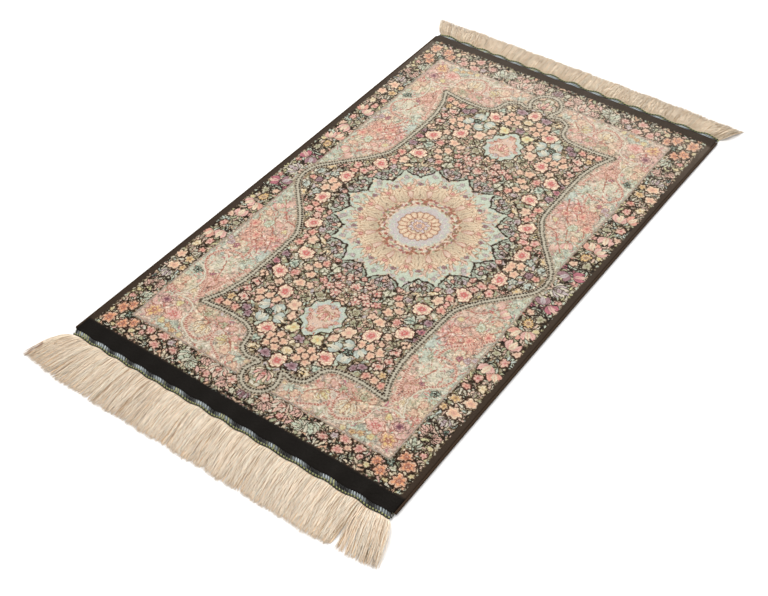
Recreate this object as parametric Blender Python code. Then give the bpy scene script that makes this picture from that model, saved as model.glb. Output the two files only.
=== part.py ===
"""A small silk pile rug with its side bindings, end finishes and fringes, lying flat.

The rug lies along Y on the plane z = 0, its near end towards -Y.  Both short ends lift
off the surface in a row of small ripples, which the stitching, the cord and the roots
of the fringe follow.  Sizes are in metres.
"""
import math
import random

import bmesh
import bpy

# ---- driving sizes of the cloth
RUG_WIDTH = 0.500          # over the side bindings, at the ends
PILE_LENGTH = 0.818
PILE_THICKNESS = 0.0040
WAIST = 0.0020             # how far each long side draws in at its middle
CORNER_RADIUS = 0.0050
CLEARANCE = 0.0003         # between two pieces sewn side by side

# ---- pieces at the edges
BINDING_RADIUS = 0.0018
STITCHING_WIDTH = 0.0040
STITCHING_THICKNESS = 0.0026
CORD_RADIUS = 0.0012
FRINGE_STRIP_WIDTH = 0.0025
FRINGE_STRIP_THICKNESS = 0.0016

# ---- fringe
STRANDS_PER_END = 90
STRAND_SHARE = 0.74        # of the pitch that a strand fills at its root
RAGGEDNESS = 0.0025
SWAY = 0.0003
LANDING = 0.018            # from the root to where a strand meets the surface
SEED = 11

# stations along a strand: share of its length, of its root thickness and of its root width
STRAND_STATIONS = (
    (0.28, 0.90, 0.98),
    (0.62, 0.75, 0.95),
    (1.00, 0.58, 0.90),
)

# ---- the ripples: how far they run into the cloth, and the rows of points they need
RIPPLE_REACH = 0.060
ROWS_FROM_END = (0.0, 0.007, 0.016, 0.027, 0.040, 0.054, 0.210)
COLUMNS_BETWEEN_CORNERS = 70
CORNER_COLUMNS = (0.5, 0.87, 1.0)    # shares of the corner radius
STRIP_REACH = 0.5                    # share of it that the sewn strips run into

# each ripple's crest: its place across the rug, its height above the surface
NEAR_CRESTS = (
    (-0.228, 0.0040),
    (-0.196, 0.0046),
    (-0.164, 0.0042),
    (-0.131, 0.0045),
    (-0.100, 0.0033),
    (-0.068, 0.0034),
    (-0.030, 0.0048),
    (0.005, 0.0052),
    (0.041, 0.0044),
    (0.078, 0.0032),
    (0.117, 0.0036),
    (0.159, 0.0044),
    (0.200, 0.0050),
    (0.235, 0.0030),
)
FAR_CRESTS = (
    (-0.226, 0.0036),
    (-0.192, 0.0032),
    (-0.160, 0.0034),
    (-0.130, 0.0038),
    (-0.099, 0.0036),
    (-0.067, 0.0034),
    (-0.034, 0.0042),
    (0.004, 0.0056),
    (0.044, 0.0040),
    (0.078, 0.0042),
    (0.112, 0.0040),
    (0.150, 0.0038),
    (0.190, 0.0034),
    (0.228, 0.0040),
)
CREST_HALF_WIDTH = 0.0180

# how the fringe fans out: root's place across the rug, sideways run of the strand to its tip
NEAR_FAN = (
    (-0.241, -0.029),
    (-0.200, -0.012),
    (-0.150, 0.000),
    (-0.060, 0.008),
    (0.060, 0.012),
    (0.206, 0.009),
    (0.214, 0.018),
    (0.241, 0.025),
)
FAR_FAN = (
    (-0.241, -0.022),
    (-0.200, -0.014),
    (-0.100, -0.006),
    (0.050, -0.003),
    (0.170, -0.004),
    (0.215, 0.004),
    (0.241, 0.024),
)

# each end of the rug: its side of the origin, its fringe's length, its ripples and its fan
ENDS = {
    "near": {"side": -1, "fringe": 0.0690, "crests": NEAR_CRESTS, "fan": NEAR_FAN},
    "far": {"side": 1, "fringe": 0.0400, "crests": FAR_CRESTS, "fan": FAR_FAN},
}

# ---- sizes worked out from those above
HALF_LENGTH = PILE_LENGTH / 2
STITCHING_START = CLEARANCE
STITCHING_END = STITCHING_START + STITCHING_WIDTH
CORD_AXIS = STITCHING_END + CLEARANCE + CORD_RADIUS
FRINGE_START = CORD_AXIS + CORD_RADIUS + CLEARANCE
FRINGE_ROOT = FRINGE_START + FRINGE_STRIP_WIDTH
PILE_INSET = 2 * BINDING_RADIUS + CLEARANCE
STRAIGHT_HALF_WIDTH = RUG_WIDTH / 2 - PILE_INSET - CORNER_RADIUS
STRAND_PITCH = 2 * STRAIGHT_HALF_WIDTH / (STRANDS_PER_END - 1 + STRAND_SHARE)
STRAND_HALF_WIDTH = STRAND_SHARE * STRAND_PITCH / 2
# the cloth sits off the origin so that the whole rug, fringes and all, is centred on it:
# the near fringe reaches furthest to the left and to the right
SIDEWAYS_SHIFT = -(NEAR_FAN[0][1] + NEAR_FAN[-1][1]) / 2
LENGTHWAYS_SHIFT = (ENDS["near"]["fringe"] - ENDS["far"]["fringe"]) / 2

# ---- colours, roughness
CHARCOAL = (0.017, 0.012, 0.010)
ROSE_AND_AQUA = (0.330, 0.235, 0.185)
SLATE_BLUE = (0.250, 0.330, 0.390)
GREEN_AND_BLACK = (0.190, 0.210, 0.090)
CREAM = (0.690, 0.560, 0.420)
SILK = 0.55
SILK_THREAD = 0.62


# ------------------------------------------------------------------ the lie of the cloth
def half_width(y):
    """Half the rug's width at y, measured from the cloth's middle."""
    share = min(abs(y) / HALF_LENGTH, 1.0)
    return RUG_WIDTH / 2 - WAIST * (1 - share * share)


def end_name(y):
    return "near" if y < 0 else "far"


def corner_drop(x):
    """How far the rounded corner draws the end of the cloth back at x."""
    into_corner = abs(x) - STRAIGHT_HALF_WIDTH
    if into_corner <= 0:
        return 0.0
    into_corner = min(into_corner, CORNER_RADIUS)
    return CORNER_RADIUS - math.sqrt(CORNER_RADIUS ** 2 - into_corner ** 2)


def end_line(name, x, outward):
    """The y of a line that runs along an end of the pile, a little outward of it."""
    return ENDS[name]["side"] * (HALF_LENGTH - corner_drop(x) + outward)


def crest_profile(name, x):
    """Height of the rippled end above the surface at x."""
    height = 0.0
    for crest_x, crest_height in ENDS[name]["crests"]:
        distance = abs(x - crest_x)
        if distance < CREST_HALF_WIDTH:
            share = math.cos(math.pi * distance / (2 * CREST_HALF_WIDTH)) ** 2
            height = max(height, crest_height * share)
    return height


def lift(x, y):
    """How far the underside of the cloth is above the surface at a point."""
    inward = HALF_LENGTH + FRINGE_ROOT - abs(y)
    fade = 1 - min(max(inward / RIPPLE_REACH, 0.0), 1.0)
    return crest_profile(end_name(y), x) * fade * fade


def fan_shift(name, x):
    """Sideways run of a fringe strand whose root is at x."""
    rows = ENDS[name]["fan"]
    for (x0, shift0), (x1, shift1) in zip(rows, rows[1:]):
        if x <= x1:
            share = (x - x0) / (x1 - x0)
            return shift0 + (shift1 - shift0) * share
    return rows[-1][1]


def cloth_columns(reach):
    """Places across the rug of the rows of points that all the sewn pieces share."""
    step = 2 * STRAIGHT_HALF_WIDTH / COLUMNS_BETWEEN_CORNERS
    columns = [-STRAIGHT_HALF_WIDTH + i * step for i in range(COLUMNS_BETWEEN_CORNERS + 1)]
    for share in CORNER_COLUMNS:
        x = STRAIGHT_HALF_WIDTH + share * CORNER_RADIUS
        if share <= reach:
            columns = [-x] + columns + [x]
    return columns


def cloth_rows():
    """Places along the rug of the rows of points, from the near end to the far end."""
    near = [-(HALF_LENGTH - distance) for distance in ROWS_FROM_END]
    return near + [0.0] + [-y for y in reversed(near)]


# ------------------------------------------------------------------ making objects
def clear_scene():
    for old in list(bpy.data.objects):
        bpy.data.objects.remove(old, do_unlink=True)


def make_material(name, colour, roughness):
    material = bpy.data.materials.new(name)
    material.use_nodes = True
    shader = material.node_tree.nodes["Principled BSDF"]
    shader.inputs["Base Color"].default_value = (*colour, 1.0)
    shader.inputs["Roughness"].default_value = roughness
    shader.inputs["Metallic"].default_value = 0.0
    material.diffuse_color = (*colour, 1.0)
    return material


def add_object(name, data, collection, parent, material):
    data.materials.append(material)
    piece = bpy.data.objects.new(name, data)
    collection.objects.link(piece)
    piece.parent = parent
    return piece


def finish_mesh(name, bm):
    bmesh.ops.recalc_face_normals(bm, faces=bm.faces[:])
    mesh = bpy.data.meshes.new(name)
    bm.to_mesh(mesh)
    bm.free()
    return mesh


def slab(columns, rows, place, thickness):
    """A closed sheet: a grid laid by place(x, row) and thickened straight up."""
    bm = bmesh.new()
    across, along = len(columns) - 1, len(rows) - 1
    bmesh.ops.create_grid(bm, x_segments=across, y_segments=along, size=1.0)
    for vert in bm.verts:
        column = round((vert.co.x + 1) / 2 * across)
        row = round((vert.co.y + 1) / 2 * along)
        vert.co = place(columns[column], rows[row])
    raised = bmesh.ops.extrude_face_region(bm, geom=bm.faces[:])
    top = [item for item in raised["geom"] if isinstance(item, bmesh.types.BMVert)]
    bmesh.ops.translate(bm, verts=top, vec=(0.0, 0.0, thickness))
    return bm


def round_cord(name, points, radius, resolution):
    """A cord of round section with closed ends along the points."""
    curve = bpy.data.curves.new(name, "CURVE")
    curve.dimensions = "3D"
    curve.bevel_depth = radius
    curve.bevel_resolution = resolution
    curve.use_fill_caps = True
    spline = curve.splines.new("POLY")
    spline.points.add(len(points) - 1)
    for spot, point in zip(spline.points, points):
        spot.co = (*point, 1.0)
    spline.use_smooth = True
    return curve


# ------------------------------------------------------------------ the pieces
def build_pile(collection, parent):
    """The knotted cloth itself, one piece from side to side and end to end."""
    widest = RUG_WIDTH / 2 - PILE_INSET

    def place(x, row):
        end_drop = corner_drop(x) * (1 if abs(row) >= HALF_LENGTH else 0)
        y = row - math.copysign(end_drop, row)
        drawn_x = x / widest * (half_width(row) - PILE_INSET)
        return (drawn_x, y, lift(drawn_x, y))

    bm = slab(cloth_columns(1.0), cloth_rows(), place, PILE_THICKNESS)
    material = make_material("knotted_silk", ROSE_AND_AQUA, SILK)
    add_object("pile", finish_mesh("pile", bm), collection, parent, material)


def build_side_binding(name, side, collection, parent, material):
    """The silk wound round the outermost warps of one long side."""
    points = []
    for y in cloth_rows():
        if abs(y) >= HALF_LENGTH:
            y = math.copysign(HALF_LENGTH - CORNER_RADIUS / 2, y)
        x = side * (half_width(y) - BINDING_RADIUS)
        points.append((x, y, lift(x, y) + BINDING_RADIUS))
    curve = round_cord(name, points, BINDING_RADIUS, 1)
    add_object(name, curve, collection, parent, material)


def build_stitching(end, collection, parent, material):
    """The band of slanting stitches worked over the flat-woven end."""
    name = end + "_stitching"

    def place(x, outward):
        y = end_line(end, x, outward)
        return (x, y, lift(x, y))

    bm = slab(cloth_columns(STRIP_REACH), (STITCHING_START, STITCHING_END), place,
              STITCHING_THICKNESS)
    add_object(name, finish_mesh(name, bm), collection, parent, material)


def build_end_cord(end, collection, parent, material):
    """The two-coloured cord twined along the outer edge of the stitching."""
    name = end + "_cord"
    points = []
    for x in cloth_columns(STRIP_REACH):
        y = end_line(end, x, CORD_AXIS)
        points.append((x, y, lift(x, y) + CORD_RADIUS))
    curve = round_cord(name, points, CORD_RADIUS, 1)
    add_object(name, curve, collection, parent, material)


def strip_columns():
    """Edges of the strand cells and of the gaps between them along a fringe's strip."""
    edges = []
    for i in range(STRANDS_PER_END):
        left = -STRAIGHT_HALF_WIDTH + i * STRAND_PITCH
        edges += [left, left + 2 * STRAND_HALF_WIDTH]
    return edges


def in_order(faces):
    """The faces sorted by their place across the rug."""
    return sorted(faces, key=lambda f: f.calc_center_median().x)


def strand_faces(bm, end):
    """The outer faces of the strip that carry a strand, in order across the rug."""
    side = ENDS[end]["side"]
    outer = [f for f in bm.faces if f.normal.y * side > 0.9]
    return in_order(outer)[::2]


def face_corners(face):
    """Each corner of an upright four-sided face with its place: -1 or 1 across, 0 or 1 up."""
    across = sorted(face.verts, key=lambda v: v.co.x)
    left = sorted(across[:2], key=lambda v: v.co.z)
    right = sorted(across[2:], key=lambda v: v.co.z)
    return zip(left + right, ((-1, 0), (-1, 1), (1, 0), (1, 1)))


def draw_strands(bm, end):
    """Draw each strand out of its cell of the strip, down to the surface and along it."""
    side = ENDS[end]["side"]
    rng = random.Random(SEED + side)
    faces = strand_faces(bm, end)
    strands = []
    for face in faces:
        middle = face.calc_center_median()
        low = min(v.co.z for v in face.verts)
        length = ENDS[end]["fringe"] - RAGGEDNESS * rng.random()
        shift = fan_shift(end, middle.x) + SWAY * rng.uniform(-1, 1)
        strands.append((middle.x, low, length, shift))
    root_y = side * (HALF_LENGTH + FRINGE_ROOT)
    for share, thinning, width_left in STRAND_STATIONS:
        faces = in_order(bmesh.ops.extrude_discrete_faces(bm, faces=faces)["faces"])
        for face, (root_x, root_z, length, shift) in zip(faces, strands):
            landed = max(0.0, 1 - share * length / LANDING)
            floor_z = root_z * landed * landed
            half = STRAND_HALF_WIDTH * width_left
            thickness = FRINGE_STRIP_THICKNESS * thinning
            for vert, (across, up) in face_corners(face):
                vert.co.x = root_x + shift * share + across * half
                vert.co.y = root_y + side * share * length
                vert.co.z = floor_z + up * thickness


def build_fringe(end, collection, parent, material):
    """The warp ends: a narrow strip at the cloth's edge, and the strands that leave it."""
    name = end + "_fringe"

    def place(x, outward):
        y = ENDS[end]["side"] * (HALF_LENGTH + outward)
        return (x, y, lift(x, y))

    bm = slab(strip_columns(), (FRINGE_START, FRINGE_ROOT), place, FRINGE_STRIP_THICKNESS)
    bmesh.ops.recalc_face_normals(bm, faces=bm.faces[:])
    draw_strands(bm, end)
    add_object(name, finish_mesh(name, bm), collection, parent, material)


def build_rug():
    clear_scene()
    collection = bpy.data.collections.new("silk_rug")
    bpy.context.scene.collection.children.link(collection)
    cloth = bpy.data.objects.new("cloth_middle", None)
    cloth.location = (SIDEWAYS_SHIFT, LENGTHWAYS_SHIFT, 0.0)
    collection.objects.link(cloth)

    build_pile(collection, cloth)
    binding_silk = make_material("binding_silk", CHARCOAL, SILK)
    build_side_binding("side_binding_left", -1, collection, cloth, binding_silk)
    build_side_binding("side_binding_right", 1, collection, cloth, binding_silk)
    stitching_silk = make_material("stitching_silk", SLATE_BLUE, SILK)
    cord_silk = make_material("cord_silk", GREEN_AND_BLACK, SILK)
    fringe_silk = make_material("fringe_silk", CREAM, SILK_THREAD)
    for end in ENDS:
        build_stitching(end, collection, cloth, stitching_silk)
        build_end_cord(end, collection, cloth, cord_silk)
        build_fringe(end, collection, cloth, fringe_silk)


build_rug()
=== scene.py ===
"""The looks of a small silk pile rug: its knotted pattern, its edges and its fringes.

The pattern is drawn on a chart, a quarter of the rug at a time, and knotted from it: the
pile's surface has one face for each knot.  Chart sizes are in millimetres; all others are
in metres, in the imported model's own frame.
"""

import math
import random

import bpy
import numpy as np
from mathutils import Matrix, Vector


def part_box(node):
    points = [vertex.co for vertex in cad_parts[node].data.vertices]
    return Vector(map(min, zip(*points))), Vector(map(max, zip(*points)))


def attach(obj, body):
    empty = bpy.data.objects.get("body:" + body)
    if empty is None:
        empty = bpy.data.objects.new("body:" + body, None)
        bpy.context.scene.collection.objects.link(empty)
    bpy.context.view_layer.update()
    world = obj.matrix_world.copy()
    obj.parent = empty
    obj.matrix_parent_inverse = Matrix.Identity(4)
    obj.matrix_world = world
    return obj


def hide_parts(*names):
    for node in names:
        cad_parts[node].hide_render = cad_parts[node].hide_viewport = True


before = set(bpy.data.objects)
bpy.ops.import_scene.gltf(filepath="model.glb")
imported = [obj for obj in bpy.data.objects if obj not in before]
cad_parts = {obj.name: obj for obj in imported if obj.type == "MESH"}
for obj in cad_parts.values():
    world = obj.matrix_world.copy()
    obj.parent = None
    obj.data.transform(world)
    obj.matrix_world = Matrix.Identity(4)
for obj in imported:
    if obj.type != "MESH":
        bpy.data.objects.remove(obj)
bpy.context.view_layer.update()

SEED = 7
MM = 0.001


# ---- sizes from the frame
def node_box(name):
    low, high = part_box(name)
    return np.array(low), np.array(high)


PILE_LOW, PILE_HIGH = node_box("pile")
MIDDLE_X, MIDDLE_Y = ((PILE_LOW + PILE_HIGH) / 2)[:2]
PILE_HALF_WIDTH, HALF_LENGTH = ((PILE_HIGH - PILE_LOW) / 2)[:2]
RUG_HALF_WIDTH = node_box("side_binding_right")[1][0] - MIDDLE_X

# ---- the cloth and its edges
PILE_THICKNESS = 0.0040
BACK_THICKNESS = 0.0012
WAIST = 0.0020                     # how far each side draws in at the middle
CORNER_RADIUS = 0.0050
STRAIGHT_HALF_WIDTH = PILE_HALF_WIDTH - CORNER_RADIUS
TURN_REACH = 0.020                 # how far inward the rounded corners bend the rows of knots
RIM_WIDTH, RIM_DROP = 0.0012, 0.0006
UNEVEN_CUT = 0.00006               # of the pile's height, knot by knot
BINDING_RADIUS = 0.0018
BINDING_OVERLAP = 0.0007
FINISH_REACH = 0.0043              # how far the stitched band reaches beyond the pile's end
CORD_AXIS = 0.0058
CORD_RADIUS = 0.0012
FRINGE_ROOT = 0.0098
LANDING = 0.018                    # the fringe comes down over twice this length
RIPPLE_REACH = 0.060
CREST_HALF_WIDTH = 0.0180

# each ripple's crest: its place across the rug, its height above the surface
NEAR_CRESTS = (
    (-0.228, 0.0040), (-0.196, 0.0046), (-0.164, 0.0042), (-0.131, 0.0045),
    (-0.100, 0.0033), (-0.068, 0.0034), (-0.030, 0.0048), (0.005, 0.0052),
    (0.041, 0.0044), (0.078, 0.0032), (0.117, 0.0036), (0.159, 0.0044),
    (0.200, 0.0050), (0.235, 0.0030),
)
FAR_CRESTS = (
    (-0.226, 0.0036), (-0.192, 0.0032), (-0.160, 0.0034), (-0.130, 0.0038),
    (-0.099, 0.0036), (-0.067, 0.0034), (-0.034, 0.0042), (0.004, 0.0056),
    (0.044, 0.0040), (0.078, 0.0042), (0.112, 0.0040), (0.150, 0.0038),
    (0.190, 0.0034), (0.228, 0.0040),
)
# how the fringe fans out: root's place across the rug, sideways run of the thread to its tip
NEAR_FAN = (
    (-0.241, -0.029), (-0.200, -0.012), (-0.150, 0.000), (-0.060, 0.008),
    (0.060, 0.012), (0.206, 0.009), (0.214, 0.018), (0.241, 0.025),
)
FAR_FAN = (
    (-0.246, -0.027), (-0.200, -0.014), (-0.100, -0.006), (0.050, -0.003),
    (0.170, -0.004), (0.215, 0.004), (0.246, 0.024),
)
# each end of the rug: its side of the middle, where its trims run from and to, its ripples
# and how much of them the pile and the band follow; then its fringe: how it fans, its
# length, threads, points of a thread, how high it puffs, how much shorter it is at the
# corners, where it parts, and its dye
ENDS = {
    "near": {"side": -1, "from": -0.2425, "to": 0.2465,
             "crests": NEAR_CRESTS, "settled": (0.75, 0.85), "fan": NEAR_FAN,
             "fringe": 0.0650, "threads": 1400, "stations": 15, "puff": 0.0026,
             "trim": 0.13, "gap": 0.207, "fringe_dye": (245, 229, 207)},
    "far": {"side": 1, "from": -0.2450, "to": 0.2465,
            "crests": FAR_CRESTS, "settled": (0.15, 1.0), "fan": FAR_FAN,
            "fringe": 0.0400, "threads": 1300, "stations": 9, "puff": 0.0020,
            "trim": 0.08, "gap": None, "fringe_dye": (203, 184, 158)},
}

# ---- the fringes
THREAD_RADIUS = 0.00036
ROOT_SCATTER = 0.0005
LAYER_LOW, LAYER_DEPTH = 0.0003, 0.0014          # how high the threads lie over one another
CURL = 0.0007
LOCKS, LOCK_RADIUS = 210, 0.0017
LOCK_INSET = 0.003                               # how far the locks stay inside the threads
# from how far across the rug, over what run, the corners' threads bend outward
CORNER_FROM, CORNER_RUN = 0.165, 0.08
OWN_LEAN, OWN_LENGTH = 0.065, 0.07               # shares of the fringe's length
PARTING, PARTING_WIDTH = 0.0042, 0.009
# waves that neighbours share: length, height
SWAY = ((0.052, 0.0014), (0.023, 0.0008), (0.011, 0.0004))
END_WAVES = ((0.060, 0.0008), (0.017, 0.0006))
PUFF_WAVES = ((0.034, 0.0005), (0.09, 0.0004))
THREAD_WAVES = ((0.0009, 9), (0.0004, 27))       # a thread's own: height, bend in radians
# its silk: shade and warmth of each thread, share of shaded ones, how much it dulls downward
THREAD_SHADE, THREAD_WARMTH, SHADED_SHARE, DULLED = 0.035, 0.014, 0.07, 0.05
TIP_DYE, TIP_FROM, TIP_STRENGTH = (215, 205, 195), 0.86, 0.6
LOCK_SHADE = 0.03
# a shaded thread's silk: a darker thread at random, partly the silk's own uneven tone and partly
# painted shade for the shadowed streaks between threads
SHADED_THREAD = (0.80, 0.73, 0.65)
# painted shade: the locks under the threads are darker and warmer than the threads, as the shade
# between them
LOCK_PAINTED_SHADE = (0.96, 0.90, 0.82)
# single threads of another dye: end, root, the part of the thread that shows it, dye
STRAY_THREADS = (
    ("near", 0.2330, 0.55, 0.90, "moss"), ("near", 0.2405, 0.86, 1.00, "night"),
    ("far", 0.2440, 0.10, 0.80, "moss"), ("near", -0.2400, 0.60, 1.00, "brown"),
)
STRAY_WIDTH = 0.0008

# ---- stitches and cords
TURN_STATIONS = 6                  # points of one stitch, or of one turn of a cord
STITCH_PITCH, STITCH_RADIUS = 0.0018, 0.00085
STITCH_INSET = 0.0005
STITCH_FROM, STITCH_TO = -0.0006, FINISH_REACH - 0.0004       # outward of the pile's end
STITCH_TOP, STITCH_FOOT, STITCH_SWELL = PILE_THICKNESS - 0.0004, 0.0012, 0.0006
STITCH_DYES = {"blue": (174, 184, 188), "green": (176, 176, 132), "dark": (104, 110, 110)}
# painted light on the stitches: the share of their dye added on the ripples' crests, and the
# share kept in the hollows as painted shade
CREST_LIGHT, HOLLOW_LIGHT = 0.9, 0.10
CHAIN_PITCH, CHAIN_RADIUS = 0.0042, 0.00100
CHAIN_DYES = ((26, 26, 22), (150, 154, 96))
EDGE_CORD_RADIUS = 0.0007

# ---- the knots
KNOT = 1.12                        # millimetres from one knot to the next
PILE_STRIPS = 5
PATTERN_SHIFT = (-2.5, 2.7)        # the pattern's middle, seen from the pile's
QUARTER_X, QUARTER_Y = 252.0, 416.0
CHART_STEP = 0.5
DYE_DEPTH = 0.76
UNEVEN_DYE = 0.04
# how far a knot strays from the drawing: with its neighbours, on its own
STRAY_SHARED, STRAY_OWN = 0.34, 0.16
# the border is a little wider on the right and at the far end: from where, over what run,
# and by how much, across and along the rug
WIDER_ACROSS = (205.0, 30.0, 2.5)
WIDER_ALONG = (355.0, 30.0, 2.2)
# painted sheen (above 0) and painted shade (below 0) on the dyes along the rug: millimetres along
# the rug, share
PAINTED_SHEEN_AND_SHADE = (
    (-409, -0.72), (-386, -0.72), (-382, -0.03), (-250, 0.0), (250, 0.0), (310, 0.10),
    (350, 0.14), (365, 0.23), (386, 0.23), (392, -0.15), (409, -0.15),
)
# the colour of the painted sheen, which the knots are paled toward
PAINTED_SHEEN_COLOUR = np.array((192, 184, 172)) / 255

# ---- the pattern's sizes
# millimetres from the pattern's centre, for the quarter that is mirrored to all four
FRAME_X, FRAME_Y = 202.0, 350.0          # the pale line between the border and the corners
BORDER_X, BORDER_Y = 237.8, 388.2        # the outer edge of the flowered border
MEDALLION_POINTS = 16
POINT_TURN = 2 * math.pi / MEDALLION_POINTS
BOWL_FOOT, BOWL_DEPTH, BOWL_CURVE = 102.0, 24.0, 6.0   # the bowls between its points
# from the middle: the flowers on the horns between them, where they open into the field,
# and where their dark outline ends
BOWL_HORNS, BOWL_MOUTH, BOWL_LINE_END = 128, 130, 122
MEDALLION_CLEARING = 124.0
GUARD_TEETH = 2.4                        # how far the guard's edge bites into the border
# half widths of the band round the field, then its beads: their row, their radius, their pitch
BAND_SHADE, BAND_REACH = 5.8, 4.9
BEAD_ROW, BEAD_RADIUS, BEAD_PITCH = 2.9, 1.6, 4.1
FAR_OFF = 1e3                            # a distance that lies outside every shape
LINE_REACH = 9.0                         # how far to its sides a line's distance is kept
EVERYWHERE = np.s_[:, :]

# the outline of the field: its end lobe, then its points from the lobe to the side tip
LOBE_CENTRE, LOBE_RADIUS = 338.0, 24.0
FIELD_SCALLOPS = (
    ((17, 321), (24, 318), (34, 321), (42, 318)),
    ((42, 318), (51, 312), (54, 303), (56, 292)),
    ((56, 292), (62, 284), (76, 278), (110, 277), (146, 281)),
    ((146, 281), (136, 260), (130, 236), (127, 209), (128, 124), (133, 103), (146, 82),
     (162, 62), (181, 41), (198, 20), (203, 0)),
)

# ---- dyes, as sRGB of 255
DYES = {
    "ground": (42, 29, 17), "guard": (58, 46, 36), "peach": (216, 185, 158),
    "orange": (221, 179, 149), "coral": (212, 161, 142), "pink": (214, 174, 162),
    "rose": (190, 106, 98), "magenta": (180, 110, 120), "mauve": (156, 122, 126),
    "plum": (108, 74, 80), "cream": (219, 203, 175), "ivory": (211, 204, 184),
    "lavender": (188, 176, 174), "blue": (184, 193, 183), "steel": (140, 145, 132),
    "aqua": (189, 197, 178), "teal": (116, 137, 124), "sage": (168, 169, 138),
    "moss": (132, 116, 88), "lime": (206, 200, 156), "mustard": (212, 178, 124),
    "amber": (222, 160, 120), "brown": (150, 112, 86), "russet": (158, 94, 78),
    "sand": (208, 187, 159), "blush": (212, 184, 165), "grey": (192, 184, 164),
    "night": (24, 17, 11),
}
PALEST = np.array((232, 218, 198))       # no dye is lightened beyond this
# a flower's colours: rim, petal, inner petal, heart
WAYS = {
    "rose": ("cream", "pink", "rose", "coral"),
    "peach": ("cream", "peach", "coral", "cream"),
    "orange": ("cream", "orange", "coral", "cream"),
    "coral": ("cream", "coral", "rose", "cream"),
    "pink": ("cream", "pink", "rose", "cream"),
    "blush": ("ivory", "blush", "rose", "mustard"),
    "cream": ("ivory", "cream", "mustard", "russet"),
    "ivory": ("ivory", "ivory", "sage", "plum"),
    "mauve": ("lavender", "mauve", "plum", "blush"),
    "magenta": ("pink", "magenta", "plum", "cream"),
    "lilac": ("ivory", "lavender", "mauve", "mustard"),
    "blue": ("ivory", "blue", "steel", "cream"),
    "aqua": ("ivory", "aqua", "teal", "cream"),
    "teal": ("aqua", "teal", "night", "cream"),
    "sage": ("ivory", "sage", "moss", "cream"),
    "lime": ("ivory", "lime", "mustard", "moss"),
    "mustard": ("cream", "mustard", "brown", "cream"),
    "bloom": ("peach", "amber", "russet", "cream"),
    "gold": ("peach", "mustard", "russet", "cream"),
    "rose petal": ("blush", "pink", "rose", "coral"),
    "faint": ("cream", "peach", "coral", "cream"),
    "faint pink": ("blush", "pink", "coral", "cream"),
    "faint grey": ("ivory", "aqua", "sage", "pink"),
}
# a flower's layers, from the outside in: share of its radius, petals, depth of the notches
# between them, which of the four colours, and a twist
FLOWERS = {
    "rose": ((1.00, 7, 0.14, 0, 0.0), (0.78, 7, 0.16, 0, 0.4), (0.58, 6, 0.20, 1, 0.8),
             (0.42, 5, 0.25, 2, 0.2), (0.20, 3, 0.30, 1, 0.5)),
    "blossom": ((1.00, 5, 0.34, 0, 0.0), (0.74, 5, 0.40, 1, 0.0), (0.32, 5, 0.45, 2, 0.0),
                (0.14, 1, 0.00, 3, 0.0)),
    "star": ((1.00, 5, 0.50, 1, 0.0), (0.66, 5, 0.60, 0, 0.0), (0.30, 1, 0.00, 2, 0.0)),
    "clover": ((1.00, 4, 0.36, 0, 0.0), (0.80, 4, 0.45, 1, 0.0), (0.30, 1, 0.00, 2, 0.0)),
    "daisy": ((1.00, 10, 0.30, 1, 0.0), (0.66, 10, 0.40, 0, 0.3), (0.38, 1, 0.00, 2, 0.0),
              (0.20, 1, 0.00, 3, 0.0)),
    "bud": ((1.00, 3, 0.30, 1, 0.0), (0.50, 3, 0.50, 2, 0.0)),
    "peony": ((1.00, 6, 0.36, 0, 0.0), (0.76, 6, 0.42, 1, 0.0), (0.46, 5, 0.45, 2, 0.5),
              (0.34, 4, 0.36, 0, 0.2), (0.16, 1, 0.00, 2, 0.0)),
}
SEAMED_RADIUS = 3                        # flowers wider than this show their seams
SEAM_WIDTH, LEAF_RIM, VEIN_WIDTH = 0.4, 0.8, 0.3


def dye(name):
    return np.array(DYES[name], float)


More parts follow.
